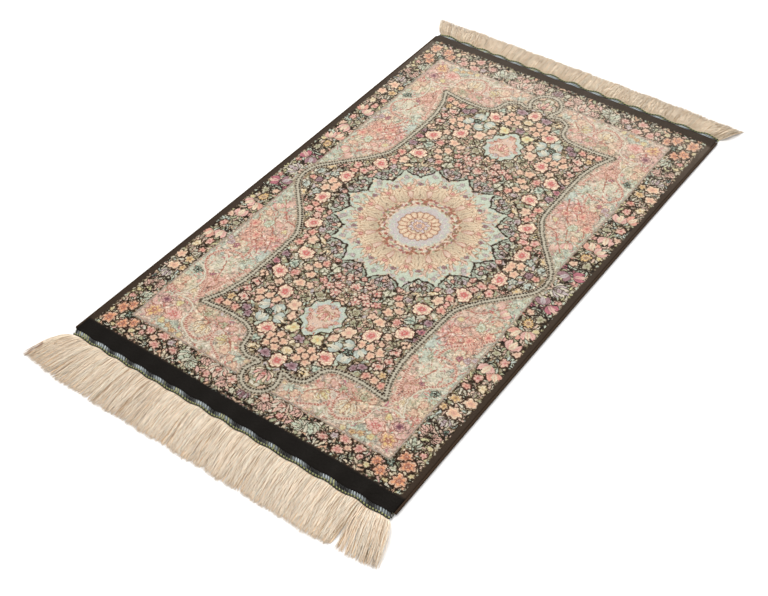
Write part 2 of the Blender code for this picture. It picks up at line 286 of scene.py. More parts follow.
# ---- drawing on the chart
class Chart:
    """A quarter of the pattern on squared paper, in millimetres from the centre."""

    def __init__(self, width, height, step):
        self.step = step
        self.x, self.y = np.meshgrid(np.arange(step / 2, width, step),
                                     np.arange(step / 2, height, step))
        self.dyed = np.zeros(self.x.shape + (3,))

    def window(self, x, y, reach):
        """The squares within reach of a point, and their places as seen from it."""
        def span(middle, size):
            ends = int((middle - reach) / self.step), int((middle + reach) / self.step) + 1
            return slice(*np.clip(ends, 0, size))

        spot = span(y, self.x.shape[0]), span(x, self.x.shape[1])
        return spot, self.x[spot] - x, self.y[spot] - y

    def tone(self, spot, colour):
        """A dye by its name, or the dyes already there made lighter or darker by a factor."""
        if isinstance(colour, str):
            return dye(colour)
        return np.minimum(self.dyed[spot] * colour, PALEST)

    def lay(self, spot, distance, colour, strength=1.0):
        """Dye the squares of a window that lie inside a shape: distance is below 0 there."""
        if not isinstance(colour, np.ndarray):
            colour = self.tone(spot, colour)
        cover = np.clip(0.5 - distance / self.step, 0, 1)[..., None] * strength
        self.dyed[spot] += (colour - self.dyed[spot]) * cover

    def near(self, points):
        """Each square's distance to a line, and how far along the line it lies."""
        distance = np.full(self.x.shape, FAR_OFF)
        along = np.zeros(self.x.shape)
        walked = 0.0
        for (x0, y0), (x1, y1) in zip(points, points[1:]):
            run = math.hypot(x1 - x0, y1 - y0)
            if run == 0:
                continue
            spot, dx, dy = self.window((x0 + x1) / 2, (y0 + y1) / 2, run / 2 + LINE_REACH)
            ux, uy = (x1 - x0) / run, (y1 - y0) / run
            share = np.clip(dx * ux + dy * uy, -run / 2, run / 2)
            off = np.hypot(dx - share * ux, dy - share * uy)
            nearer = off < distance[spot]
            distance[spot] = np.where(nearer, off, distance[spot])
            along[spot] = np.where(nearer, walked + share + run / 2, along[spot])
            walked += run
        return distance, along

    def inside(self, points):
        """Whether each square lies inside a closed outline."""
        found = np.zeros(self.x.shape, bool)
        for (x0, y0), (x1, y1) in zip(points, points[1:] + points[:1]):
            if y0 != y1:
                spans = (y0 > self.y) != (y1 > self.y)
                found ^= spans & (self.x < (x1 - x0) * (self.y - y0) / (y1 - y0) + x0)
        return found

    def at(self, x, y):
        """The dye at any places, blended from the four squares round each."""
        rows, columns = self.x.shape
        column = np.clip(np.abs(x) / self.step - 0.5, 0, columns - 1.001)
        row = np.clip(np.abs(y) / self.step - 0.5, 0, rows - 1.001)
        c, r = column.astype(int), row.astype(int)
        aside, up = (column - c)[..., None], (row - r)[..., None]
        low, high = (self.dyed[r + i, c] * (1 - aside) + self.dyed[r + i, c + 1] * aside
                     for i in (0, 1))
        return low * (1 - up) + high * up


def polar(out, turn, aside=0.0):
    """A place seen from the centre: how far out towards turn, and how far aside of that."""
    ux, uy = math.cos(turn), math.sin(turn)
    return out * ux - aside * uy, out * uy + aside * ux


def both_sides(aside):
    """Both sides of an axis for what lies off it, once for what lies on it."""
    return (1, -1) if aside else (1,)


def flowing(points, step=2.5):
    """A smooth line through a few points."""
    rows = [points[0], *points, points[-1]]
    line = []
    for four in zip(rows, rows[1:], rows[2:], rows[3:]):
        (bx, by), (cx, cy) = four[1:3]
        count = max(2, int(math.hypot(cx - bx, cy - by) / step))
        for i in range(count):
            t = i / count
            weights = (
                (-t + 2 * t * t - t ** 3) / 2,
                (2 - 5 * t * t + 3 * t ** 3) / 2,
                (t + 4 * t * t - 3 * t ** 3) / 2,
                (t ** 3 - t * t) / 2,
            )
            line.append(tuple(sum(w * v for w, v in zip(weights, values))
                              for values in zip(*four)))
    return line + [points[-1]]


def stroke(chart, points, layers):
    """A line in layers of width, colour and strength, the widest first."""
    distance, _ = chart.near(points)
    for width, colour, strength in layers:
        chart.lay(EVERYWHERE, distance - width / 2, colour, strength)


def flower(chart, kind, x, y, radius, way, turn, rim, gap):
    """An open flower seen from above, in outlined petals laid from the outside in."""
    spot, dx, dy = chart.window(x, y, 1.2 * radius + gap + 1)
    away, angle = np.hypot(dx, dy), np.arctan2(dy, dx) - turn
    uneven = 1 + 0.11 * np.sin(2 * angle + 7 * x) + 0.07 * np.sin(3 * angle + 5 * y)
    uneven += 0.05 * np.sin(13 * angle + 3 * x)
    line = min(1.0, 0.15 * radius)
    colours = [dye(name) for name in WAYS[way]]
    for layer, (share, petals, depth, which, twist) in enumerate(FLOWERS[kind]):
        wave = np.abs(np.cos(petals * (angle - twist) / 2)) if depth else 1.0
        edge = radius * share * (1 - depth + depth * wave) * uneven
        if layer == 0 and gap:
            chart.lay(spot, away - edge - gap, rim)
        chart.lay(spot, away - edge, colours[2] * 0.9, 0.6)
        lit = 0.94 + 0.16 * np.clip(away / (radius * share), 0, 1)[..., None]
        chart.lay(spot, away - edge + line, colours[which] * lit)
    if radius > SEAMED_RADIUS:
        wave = np.abs(np.cos(FLOWERS[kind][0][1] * angle / 2))
        on_petal = (away > 0.3 * radius) & (away < 0.9 * radius)
        seam = np.where(on_petal, wave * radius * 0.5, FAR_OFF)
        chart.lay(spot, seam - SEAM_WIDTH, colours[2] * 0.92, 0.65)


def leaf(chart, x, y, length, width, turn, colour, vein=None, bend=0.0, rim=None):
    """A pointed leaf that grows from x, y towards turn, curved by bend."""
    middle = length / 2
    cx, cy = x + middle * math.cos(turn), y + middle * math.sin(turn)
    spot, dx, dy = chart.window(cx, cy, middle + abs(bend) + width)
    along = (dx * math.cos(turn) + dy * math.sin(turn)) / length + 0.5
    t = np.clip(along, 0, 1)
    across = dy * math.cos(turn) - dx * math.sin(turn) - 4 * bend * t * (1 - t)
    half = width / 2 * np.sin(math.pi * t) ** 0.75
    past = np.maximum(np.maximum(-along, along - 1), 0) * length
    off = np.abs(across) - half + past
    if rim:
        chart.lay(spot, off - LEAF_RIM, rim)
    chart.lay(spot, off, chart.tone(spot, colour) * (0.90 + 0.18 * t)[..., None])
    if vein:
        chart.lay(spot, np.maximum(np.abs(across) - VEIN_WIDTH, off + 0.5), vein, 0.7)


def tulip(chart, x, y, radius, way, turn, rim):
    """A flower from the side: two outer petals folded round a middle one."""
    front, petal, vein, _ = WAYS[way]
    foot = x - radius * math.cos(turn), y - radius * math.sin(turn)
    for side in (-1, 1):
        leaf(chart, *foot, 2 * radius, radius * 0.95, turn + side * 0.42, petal, vein,
             side * radius * 0.3, rim)
    leaf(chart, *foot, 1.9 * radius, radius * 0.85, turn, front, vein)


def palmette(chart, x, y, radius, way, turn, rim, petals=7):
    """A fan of petals round a heart, the stem side left open, its outer petals first."""
    ux, uy = math.cos(turn), math.sin(turn)
    foot_x, foot_y = x - 0.6 * radius * ux, y - 0.6 * radius * uy
    for i in sorted(range(petals), key=lambda i: -abs(i - (petals - 1) / 2)):
        share = 2 * i / (petals - 1) - 1
        leaf(chart, foot_x, foot_y, radius * (1.6 - 0.45 * abs(share)), radius * 0.5,
             turn + share * 1.15, WAYS[way][i % 2], WAYS[way][2], share * radius * 0.12, rim)
    flower(chart, "bud", foot_x + 0.5 * radius * ux, foot_y + 0.5 * radius * uy,
           radius * 0.34, way, turn, rim, 0.4)


# ---- where the flowers go
# the field's placed flowers: kind, x, y, radius, colours, turn in degrees
FIELD_FLOWERS = (
    ("rose", 0, 306, 12, "rose", 90), ("rose", 46, 269, 12.5, "rose", 20),
    ("rose", 69, 206, 12.5, "rose", 50), ("rose", 101, 179, 12.5, "rose", 10),
    ("rose", 94, 132, 12.5, "rose", 70), ("rose", 124, 79, 12.5, "rose", 30),
    ("rose", 147, 28, 12.5, "rose", 0),
    ("tulip", 56, 235, 8, "blue", 150), ("tulip", 77, 238, 8, "blue", 30),
    ("tulip", 44, 247, 8, "blue", 190), ("tulip", 65, 257, 8, "blue", 270),
    ("star", 63, 245, 6, "teal", 0),
    ("blossom", 84, 263, 7, "mauve", 0), ("blossom", 92, 256, 7, "mauve", 50),
    ("blossom", 21, 303, 9, "mauve", 20), ("blossom", 116, 148, 7, "mauve", 0),
    ("blossom", 118, 166, 7, "magenta", 30),
    ("clover", 43, 218, 11, "peach", 45), ("clover", 33, 235, 8, "peach", 20),
    ("blossom", 69, 224, 7.5, "orange", 0), ("blossom", 81, 223, 7.5, "orange", 40),
    ("blossom", 96, 224, 8, "orange", 10), ("blossom", 89, 235, 7, "orange", 70),
    ("clover", 19, 249, 10, "lime", 30),
    ("blossom", 121, 253, 7, "mustard", 0), ("blossom", 117, 265, 7, "orange", 30),
    ("blossom", 104, 265, 7, "coral", 60), ("blossom", 129, 268, 7, "coral", 0),
    ("star", 20, 155, 8, "blush", 0), ("star", 30, 163, 8, "blush", 40),
    ("star", 16, 169, 8, "blush", 10), ("star", 42, 159, 7, "pink", 70),
    ("blossom", 58, 132, 7, "coral", 0), ("blossom", 66, 141, 7, "orange", 40),
    ("blossom", 62, 161, 8, "orange", 10), ("blossom", 73, 152, 7, "peach", 30),
    ("blossom", 64, 181, 9, "orange", 20), ("blossom", 50, 178, 7, "peach", 50),
    ("blossom", 113, 96, 8, "coral", 10), ("blossom", 114, 108, 7, "pink", 50),
    ("blossom", 116, 120, 8, "coral", 30), ("blossom", 103, 107, 9, "peach", 0),
    ("blossom", 146, 4, 8, "orange", 0), ("blossom", 157, 9, 8, "orange", 40),
    ("blossom", 149, 58, 8, "pink", 20), ("blossom", 146, 45, 7, "coral", 60),
    ("daisy", 175, 0, 7, "mauve", 0), ("blossom", 186, 0, 6, "coral", 0),
    ("blossom", 134, 52, 8, "pink", 10), ("star", 163, 22, 7, "blue", 20),
    ("blossom", 129, 63, 7, "blush", 40), ("blossom", 88, 196, 7, "peach", 0),
    ("palmette", 0, 334, 13, "rose", 90), ("blossom", 13, 352, 6, "peach", 0),
    ("blossom", 24, 268, 7.5, "orange", 0), ("blossom", 34, 276, 7.5, "orange", 25),
    ("blossom", 30, 289, 7.5, "orange", 50), ("blossom", 17, 289, 7.5, "orange", 75),
    ("blossom", 14, 276, 7.5, "orange", 100), ("blossom", 24, 280, 6, "orange", 125),
)
PENDANT_CLEARING = (0, 216, 26)
# one bowl's flowers: kind, distance from the middle, distance aside, radius, colours
BOWL_FLOWERS = (
    ("blossom", 124, 8, 3.4, "lilac"), ("clover", 118, 0, 3.2, "blush"),
)
# its scales: foot's distance from the middle, distance aside, lean
BOWL_SCALES = ((130, 15, 0.35), (130, 6, 0.15), (125, 11, 0.5), (122, 4, 0.2), (117, 0, 0.0))
SCALE_LENGTH, SCALE_WIDTH = 13, 8.0
SCALE_DYES = ("aqua", "aqua", "lavender", "aqua", "cream", "blush")
# loose flowers of the field take the colours of the nearest of these
FIELD_BEDS = (
    (10, 150, "blush"), (40, 175, "peach"), (60, 150, "orange"), (80, 130, "sage"),
    (80, 160, "pink"), (110, 130, "cream"), (120, 200, "mauve"), (85, 190, "cream"),
    (30, 200, "sage"), (10, 230, "aqua"), (110, 240, "blush"), (60, 270, "mauve"),
    (35, 310, "cream"), (130, 20, "sage"), (135, 40, "peach"), (165, 35, "cream"),
    (150, 12, "orange"), (125, 10, "lilac"), (180, 10, "blue"), (140, 80, "lime"),
    (100, 210, "sage"), (135, 262, "orange"), (98, 90, "lilac"), (20, 330, "cream"),
    (50, 200, "teal"), (52, 300, "lime"), (75, 275, "sage"),
)
LOOSE_WAYS = ("peach", "peach", "peach", "blush", "blush", "blush", "pink", "pink", "cream",
              "cream", "ivory", "ivory", "lilac", "aqua", "aqua", "sage", "orange", "mauve")

# the border's placed flowers, as above
BORDER_FLOWERS = (
    ("peony", 215, 337, 9, "bloom", 0), ("peony", 224, 347, 10, "bloom", 0),
    ("peony", 191, 362, 9, "bloom", 0), ("peony", 202, 371, 10, "bloom", 40),
    ("peony", 226, 371, 11, "bloom", 10), ("bud", 212, 359, 5, "ivory", 45),
    ("star", 204, 352, 7, "teal", 45), ("blossom", 234, 357, 4, "lime", 0),
    ("blossom", 184, 374, 5, "lime", 0), ("star", 213, 379, 4, "lime", 0),
    ("peony", 142, 357, 9, "pink", 0), ("peony", 164, 359, 8, "pink", 30),
    ("blossom", 152, 367, 6, "orange", 0), ("peony", 143, 376, 8, "pink", 0),
    ("blossom", 171, 369, 5, "blush", 0), ("palmette", 98, 367, 12, "faint grey", 60),
    ("palmette", 84, 373, 9, "faint grey", 170), ("peony", 117, 370, 7, "blush", 0),
    ("blossom", 128, 360, 6, "lilac", 0), ("palmette", 70, 357, 9, "faint pink", 120),
    ("palmette", 50, 361, 14, "blush", 100), ("blossom", 26, 362, 8, "blush", 0),
    ("blossom", 58, 374, 6, "pink", 0), ("palmette", 34, 373, 9, "faint pink", 60),
    ("palmette", 0, 372, 9, "mauve", 90), ("blossom", 15, 376, 5, "ivory", 0),
    ("tulip", 213, 27, 8, "mauve", 240), ("tulip", 230, 36, 8, "magenta", 30),
    ("palmette", 222, 0, 13, "lilac", 0), ("blossom", 211, 55, 6, "peach", 0),
    ("blossom", 227, 60, 7, "sage", 30), ("daisy", 218, 74, 8, "mustard", 0),
    ("blossom", 232, 82, 5, "lime", 0), ("tulip", 214, 98, 9, "coral", 110),
    ("tulip", 228, 94, 8, "pink", 60), ("tulip", 222, 118, 9, "rose", 280),
    ("blossom", 233, 128, 6, "peach", 0), ("blossom", 212, 140, 6, "sage", 0),
    ("blossom", 228, 148, 7, "pink", 20), ("tulip", 216, 170, 9, "rose", 100),
    ("tulip", 231, 176, 8, "coral", 60), ("blossom", 216, 188, 7, "pink", 0),
    ("blossom", 229, 200, 7, "cream", 50), ("blossom", 212, 207, 6, "coral", 0),
    ("blossom", 213, 231, 8, "mustard", 0), ("blossom", 231, 228, 9, "orange", 20),
    ("blossom", 223, 251, 10, "orange", 60), ("blossom", 209, 249, 6, "mustard", 0),
    ("palmette", 222, 268, 9, "lilac", 90), ("palmette", 212, 289, 8, "faint pink", 200),
    ("palmette", 228, 295, 7, "faint pink", 330), ("palmette", 212, 315, 9, "faint grey", 250),
    ("blossom", 229, 324, 5, "pink", 0), ("blossom", 230, 311, 4, "lime", 0),
)
BORDER_BEDS = (
    (220, 30, "magenta"), (220, 70, "sage"), (220, 110, "pink"), (220, 140, "cream"),
    (220, 170, "pink"), (220, 200, "sage"), (220, 240, "mustard"), (220, 270, "teal"),
    (220, 300, "ivory"), (222, 355, "orange"), (190, 370, "coral"), (155, 365, "pink"),
    (125, 370, "lilac"), (95, 365, "ivory"), (70, 370, "blush"), (50, 365, "pink"),
    (25, 370, "blush"), (5, 370, "ivory"), (220, 5, "blue"),
)

# the corners' placed flowers
CORNER_FLOWERS = (
    ("blossom", 151, 137, 8, "coral", 0), ("blossom", 174, 143, 9, "coral", 30),
    ("blossom", 191, 125, 9, "coral", 10), ("blossom", 157, 153, 7, "coral", 50),
    ("daisy", 174, 116, 8, "faint grey", 0), ("blossom", 160, 110, 6, "faint pink", 0),
    ("tulip", 187, 78, 7, "pink", 300), ("tulip", 172, 67, 7, "faint pink", 120),
    ("blossom", 145, 118, 5, "lime", 0), ("blossom", 188, 97, 6, "faint", 0),
    ("daisy", 191, 172, 6, "lilac", 0), ("star", 181, 174, 5, "magenta", 0),
    ("blossom", 198, 166, 5, "lilac", 0), ("star", 135, 205, 6, "faint pink", 0),
    ("blossom", 151, 237, 6, "faint pink", 0), ("blossom", 163, 246, 6, "faint pink", 30),
    ("blossom", 156, 251, 6, "faint pink", 0), ("star", 168, 236, 4, "magenta", 0),
    ("star", 190, 240, 7, "teal", 45), ("blossom", 197, 252, 5, "faint grey", 0),
    ("blossom", 190, 262, 6, "faint", 0), ("rose", 185, 305, 8, "magenta", 0),
    ("peony", 160, 320, 13, "rose petal", 0), ("peony", 185, 329, 12, "gold", 30),
    ("bud", 166, 301, 5, "lime", 0), ("bud", 165, 337, 5, "lime", 40),
    ("blossom", 152, 339, 5, "mustard", 0), ("blossom", 142, 343, 5, "mustard", 0),
    ("blossom", 129, 345, 5, "lime", 0),
    ("blossom", 196, 285, 6, "blush", 0), ("blossom", 186, 278, 6, "faint", 0),
    ("palmette", 114, 318, 12, "cream", 90), ("blossom", 95, 298, 7, "sage", 0),
    ("palmette", 80, 318, 9, "lime", 20), ("blossom", 66, 330, 8, "faint", 0),
    ("blossom", 80, 296, 6, "faint pink", 0), ("blossom", 124, 295, 6, "sage", 0),
    ("blossom", 51, 336, 6, "faint", 20), ("blossom", 68, 308, 6, "faint pink", 0),
    ("star", 98, 289, 5, "faint pink", 0), ("blossom", 137, 293, 5, "faint", 0),
    ("blossom", 40, 343, 5, "faint", 0), ("star", 107, 292, 4, "faint pink", 0),
)
CORNER_BEDS = (
    (190, 60, "faint grey"), (165, 75, "cream"), (150, 100, "faint pink"),
    (185, 100, "faint"), (150, 140, "faint pink"), (180, 140, "faint pink"),
    (140, 175, "faint grey"), (185, 165, "faint grey"), (195, 185, "blue"),
    (168, 215, "faint grey"), (135, 230, "faint grey"), (155, 250, "faint pink"),
    (190, 245, "faint grey"), (190, 280, "cream"), (160, 310, "faint"), (115, 300, "faint"),
    (80, 310, "faint pink"), (50, 335, "cream"), (130, 340, "sage"), (198, 215, "faint grey"),
)
# red-brown ropes of the corners, and their finer pale line
ROPES = (
    ((204, 117), (190, 136), (177, 150), (164, 163), (158, 176), (158, 186)),
    ((156, 190), (166, 185), (181, 187), (192, 197), (196, 211), (189, 226), (176, 237),
     (166, 250), (160, 264), (155, 280)),
    ((136, 206), (142, 230), (147, 250), (153, 268)),
    ((97, 300), (97, 318), (103, 332), (115, 337), (128, 330), (138, 320), (142, 306)),
    ((62, 346), (76, 338), (87, 331), (92, 321)),
)
PALE_LINES = (
    ((204, 225), (186, 232), (175, 244), (170, 258), (172, 275), (181, 291)),
    ((181, 291), (166, 289), (151, 294), (144, 305), (144, 319), (138, 328), (126, 335),
     (108, 342), (95, 338), (90, 330)),
)
# their stems
CORNER_STEMS = (
    ((76, 292), (92, 297), (109, 305), (124, 300), (136, 288)),
    ((56, 330), (66, 318), (80, 308), (98, 304)),
    ((140, 165), (150, 140), (165, 118), (178, 92)),
    ((150, 170), (168, 150), (182, 132), (196, 108)),
    ((186, 262), (188, 290), (180, 318)),
    ((150, 262), (158, 240), (164, 222), (170, 206)),
    ((140, 100), (158, 96), (172, 80), (186, 62)),
)
# the pale bushes there: x, y, half its width and length, colour
CORNER_BUSHES = (
    (170, 211, 21, 17, "ivory"), (138, 170, 9, 12, "blue"), (116, 322, 15, 10, "ivory"),
    (185, 262, 10, 9, "cream"), (86, 312, 9, 8, "ivory"),
)
# washes of ground colour in the corners: x, y, reach across, reach along, colour
CORNER_WASHES = (
    (196, 60, 14, 40, "aqua"), (178, 84, 20, 20, "grey"), (160, 112, 24, 30, "blush"),
    (185, 112, 14, 22, "cream"), (148, 140, 20, 24, "pink"), (180, 140, 24, 20, "coral"),
    (198, 135, 7, 60, "aqua"), (140, 188, 16, 26, "aqua"), (160, 180, 14, 10, "ivory"),
    (186, 170, 20, 12, "peach"), (170, 214, 16, 22, "cream"), (184, 192, 14, 8, "blush"),
    (198, 205, 7, 40, "aqua"), (140, 240, 10, 34, "blush"), (160, 250, 16, 14, "coral"),
    (188, 244, 16, 14, "aqua"), (192, 272, 14, 16, "sand"), (168, 272, 12, 12, "cream"),
    (190, 312, 14, 24, "pink"), (163, 312, 16, 20, "blush"), (150, 338, 22, 10, "aqua"),
    (122, 318, 20, 22, "peach"), (104, 338, 22, 8, "ivory"), (92, 304, 16, 14, "pink"),
    (74, 322, 16, 16, "cream"), (60, 340, 18, 8, "blush"), (48, 334, 14, 10, "aqua"),
    (124, 292, 22, 8, "sand"),
)
# a line's layers: width, dye, strength
STEM_LAYERS = ((1.6, "russet", 0.9),)
PALE_LINE_LAYERS = ((3.2, "brown", 0.6), (2.2, "ivory", 1.0))
FRAME_LAYERS = ((3.4, "brown", 0.6), (2.2, "steel", 0.5), (1.0, "lavender", 0.6))
# a rope: its pale ground's and its own half width, and the pitch, half length and lean of
# its dashes
ROPE_GROUND, ROPE_WIDTH = 2.0, 1.4
ROPE_PITCH, ROPE_DASH, ROPE_LEAN = 3.4, 0.9, 0.6
# a corner's washes: the weight of the plain blush under them, and how sharply each one ends
WASH_BASE, WASH_FADE = 0.08, 1.8
BUSH_STRENGTH = 0.65                     # how much of its own dye a bush has

# the pendant: its outline, its bands from the outside in, and its flowers
PENDANT_OUTLINE = ((0, 181), (7, 186), (13, 184), (17, 193), (25, 197), (24, 207), (29, 215),
                   (23, 222), (24, 231), (15, 235), (11, 244), (0, 252))
PENDANT_BANDS = ((1.6, "ground"), (0.0, "aqua"), (-2.4, "blue"), (-6.5, "brown"),
                 (-7.6, "blush"))
PENDANT_FLOWERS = (
    ("palmette", 0, 210, 11, "pink", 90), ("blossom", 12, 203, 4, "pink", 0),
    ("blossom", 13, 224, 4, "blush", 30), ("star", 0, 238, 4, "pink", 90),
    ("blossom", 0, 193, 4, "lilac", 90), ("star", 20, 213, 3.4, "blush", 0),
)

# strokes strewn round the medallion: how many, from and to what distance, length, width,
# lean, dyes
RING_MARKS = {
    "rim": (
        (110, 86, 114, 8.0, 4.5, 0.9, ("lavender", "grey", "blush", "blue", "lavender", "sand")),
        (90, 90, 114, 5.5, 1.5, 0.9, ("steel", "mauve", "brown", "sage")),
        (30, 78, 94, 8.0, 1.3, 0.7, ("brown", "sand")),
    ),
    "collar": (
        (50, 42, 51, 5.0, 2.2, 0.6, ("cream", "ivory", "blush")),
        (110, 44, 57, 6.0, 2.8, 1.2, ("brown", "moss", "mauve", "russet", "sage", "brown")),
    ),
    "heart": ((60, 31, 42, 4.5, 1.6, 1.3, ("aqua", "blue", "ivory", "aqua")),),
}
# its petals: foot's distance from the middle, lean, length, width, dye or shade, vein, bend,
# rim; then its flower heads: kind, distance, radius, colours, rim, gap
WHORLS = {
    "rim": (
        ((84, -0.55, 20, 3.4, "blush", None, -4, "brown"),
         (84, 0.55, 20, 3.4, "blush", None, 4, "brown")),
        (("clover", 107, 3.8, "lilac", "steel", 0.8),),
    ),
    "petals": (
        ((52, 0, 38, 19, "sand", None, 0, 0.8), (58, -0.20, 21.0, 1.4, "brown", None, 0, None),
         (58, -0.08, 24.6, 1.4, "cream", None, 0, None),
         (58, 0.04, 25.8, 1.4, "brown", None, 0, None),
         (58, 0.16, 22.2, 1.4, "cream", None, 0, None)),
        (("clover", 90, 3.6, "mauve", "brown", 0.8),),
    ),
    "palmettes": (
        ((58, 0.32, 30, 10, "sand", "brown", 5, 0.78),
         (58, -0.32, 30, 10, "sand", "brown", -5, 0.78),
         (60, 0, 20, 7, "blush", None, 0, "russet"), (62, 0, 14, 3, "blush", None, 0, None)),
        (("palmette", 83, 10.5, "faint", "brown", None), ("bud", 83, 3.0, "rose", "russet", 0.5)),
    ),
}
ROSETTE_PETALS = 18

# ---- what is strewn by chance
BORDER_GREENS = ("sage", "grey", "aqua", "ivory", "cream", "blue", "blush", "aqua", "blush",
                 "lime")
# leaves: how many, length, width, dyes or shades of the ground, rim
FOLIAGE = {
    "field": (1900, 10.0, 4.6, ("aqua", "aqua", "grey", "blush", "cream", "blush", "sage",
                                "ivory", "lavender", "steel", "pink"), "moss"),
    "field stems": (110, 11.0, 2.0, ("ground",), None),
    "pendant": (40, 6.0, 2.2, ("sage", "ivory", "lavender", "pink", "aqua", "russet"), None),
    "corner ground": (1300, 8.0, 2.8, (1.08, 1.14, 0.87, 0.94), None),
    "corner lines": (1700, 6.0, 1.2, (0.72, 0.78, 0.84, "coral", 0.80, "sage"), None),
    "corner lights": (500, 6.0, 1.3, (1.12, 1.16, "ivory", "aqua"), None),
    "corner reds": (180, 8.0, 1.3, ("russet", "rose", "magenta"), None),
    "border": (1000, 11.0, 3.8, BORDER_GREENS, "moss"),
    "end border": (300, 12.0, 3.6, ("aqua", "sage", "ivory", "pink", "cream", "cream",
                                    "orange", "peach"), "ground"),
    "border stems": (260, 11.0, 2.0, ("night",), None),
}
# lines between plots: the plots' size, waviness, half the line's width, dye or shade, strength
HEDGES = {
    "field": (15.0, 3.0, 1.0, "ground", 1.0),
    "bowls": (12.0, 1.6, 0.6, "ground", 0.9),
    "corner": (11.0, 2.4, 0.6, 0.72, 1.0),
    "border": (19.0, 4.0, 1.0, "ground", 1.0),
    "end border": (9.0, 2.5, 1.3, "night", 1.0),
}
# their tries for each plot, and shares of a plot's size: how far apart, how far they reach
PLOT_TRIES, PLOT_APART, PLOT_REACH = 12, 0.8, 2.5
# loose flowers: their radii and the tries for each, how far apart they stay, the patches
# whose colours they take and how faithfully, rim, gap, kinds
LOOSE_FLOWERS = {
    "field": (((9.0, 500), (8.0, 1200), (7.0, 2000), (6.0, 1600), (5.0, 500)), -0.6,
              FIELD_BEDS, 0.45, "ground", 1.0,
              ("blossom", "peony", "clover", "peony", "palmette")),
    "corner": (((4.5, 120), (3.5, 300), (2.6, 400)), 3.5, CORNER_BEDS, 1.0, "brown", 0.3,
               ("blossom", "blossom", "star", "daisy")),
    "border": (((6.0, 120), (5.0, 300), (4.0, 500)), 1.6, BORDER_BEDS, 0.8, "plum", 0.5,
               ("blossom", "bud", "star")),
}
# sprays of long leaves in the border: radius and tries, then the size of a blade
SPRAYS, SPRAYS_APART = ((7.0, 3000),), -1.0
BLADE_LENGTH, BLADE_WIDTH, BLADE_SPREAD, BLADE_BEND = 16, 3.0, 1.1, 2.2
# leaf tips along the border's edge: from one to the next, how far inside the edge their feet
# are, their sizes and their dyes
TIP_PITCH, TIP_FOOT = 2.0, 5
TIP_LENGTHS, TIP_WIDTH = (4.0, 6.2), 3.2
TIP_DYES = ("sage", "sand", "mustard", "grey", "pink", "ivory", "lime")


# ---- drawing the quarter
def field_outline():
    """The line of the beaded band round a quarter of the field, lobe first."""
    foot_x, foot_y = FIELD_SCALLOPS[0][0]
    last = math.atan2(foot_y - LOBE_CENTRE, foot_x)
    line = [(LOBE_RADIUS * math.cos(a), LOBE_CENTRE + LOBE_RADIUS * math.sin(a))
            for a in np.linspace(math.pi / 2, last, 24)]
    for scallop in FIELD_SCALLOPS:
        line += flowing(scallop)[1:]
    return line


def places(chart, rng, mask, count):
    """Places drawn at random from a region."""
    rows, columns = np.nonzero(mask)
    for _ in range(count):
        i = rng.randrange(len(rows))
        yield chart.x[0, columns[i]], chart.y[rows[i], 0]


def fits(chart, mask, x, y, radius):
    """Whether a round flower lies inside a region."""
    for i in range(8):
        px = abs(x + radius * math.cos(i * math.pi / 4))
        py = abs(y + radius * math.sin(i * math.pi / 4))
        row, column = int(py / chart.step), int(px / chart.step)
        if row >= mask.shape[0] or column >= mask.shape[1] or not mask[row, column]:
            return False
    return True


def scatter(chart, rng, mask, placed, sizes, apart):
    """Places for loose flowers in what is left of a region, the largest first."""
    spots = np.array(placed, float)
    for radius, tries in sizes:
        for x, y in places(chart, rng, mask, tries):
            # one close to an axis of the pattern sits on it
            x, y = (0.0 if v < 0.6 * radius else v for v in (x, y))
            if 0 < x < radius + apart or 0 < y < radius + apart:
                continue
            clear = np.hypot(spots[:, 0] - x, spots[:, 1] - y) - spots[:, 2] - radius - apart
            if clear.min() >= 0 and fits(chart, mask, x, y, radius):
                spots = np.vstack([spots, (x, y, radius)])
    return spots[len(placed):]


def foliage(chart, rng, mask, bed):
    """Small leaves strewn over a region, which the flowers then partly cover."""
    count, length, width, colours, rim = FOLIAGE[bed]
    for x, y in places(chart, rng, mask, count):
        size = rng.uniform(0.7, 1.2)
        leaf(chart, x, y, length * size, width * size, rng.uniform(0, 2 * math.pi),
             rng.choice(colours), None, rng.uniform(-1.5, 1.5), rim)


def hedge(chart, rng, mask, bed):
    """Lines, thick and thin by turns, between irregular plots with wavy edges."""
    spacing, wobble, width, colour, strength = HEDGES[bed]
    tries = int(np.count_nonzero(mask) * chart.step ** 2 / spacing ** 2 * PLOT_TRIES)
    seeds = np.empty((0, 2))
    for spot in places(chart, rng, mask, tries):
        if len(seeds) == 0 or np.hypot(*(seeds - spot).T).min() > PLOT_APART * spacing:
            seeds = np.vstack([seeds, spot])
    first, second = np.full((2, *chart.x.shape), FAR_OFF)
    for x, y in seeds:
        spot, dx, dy = chart.window(x, y, PLOT_REACH * spacing)
        bent = wobble * np.sin((dy + y) / 3.1 + np.sin((dx + x) / 5.3))
        away = np.hypot(dx + bent, dy + wobble * np.sin((dx + x) / 2.9 + 1))
        second[spot] = np.minimum(second[spot], np.maximum(first[spot], away))
        first[spot] = np.minimum(first[spot], away)
    swell = width * (0.7 + 0.5 * np.sin(chart.x / 2.3) * np.sin(chart.y / 2.7))
    off = np.where(mask, (second - first) / 2 - swell, FAR_OFF)
    chart.lay(EVERYWHERE, off, colour, strength)


def set_flowers(chart, rows, rim, gap):
    """Flowers in their own places."""
    for kind, x, y, radius, way, turn in rows:
        if kind == "tulip":
            tulip(chart, x, y, radius, way, math.radians(turn), rim)
        elif kind == "palmette":
            palmette(chart, x, y, radius, way, math.radians(turn), rim)
        else:
            flower(chart, kind, x, y, radius, way, math.radians(turn), rim, gap)


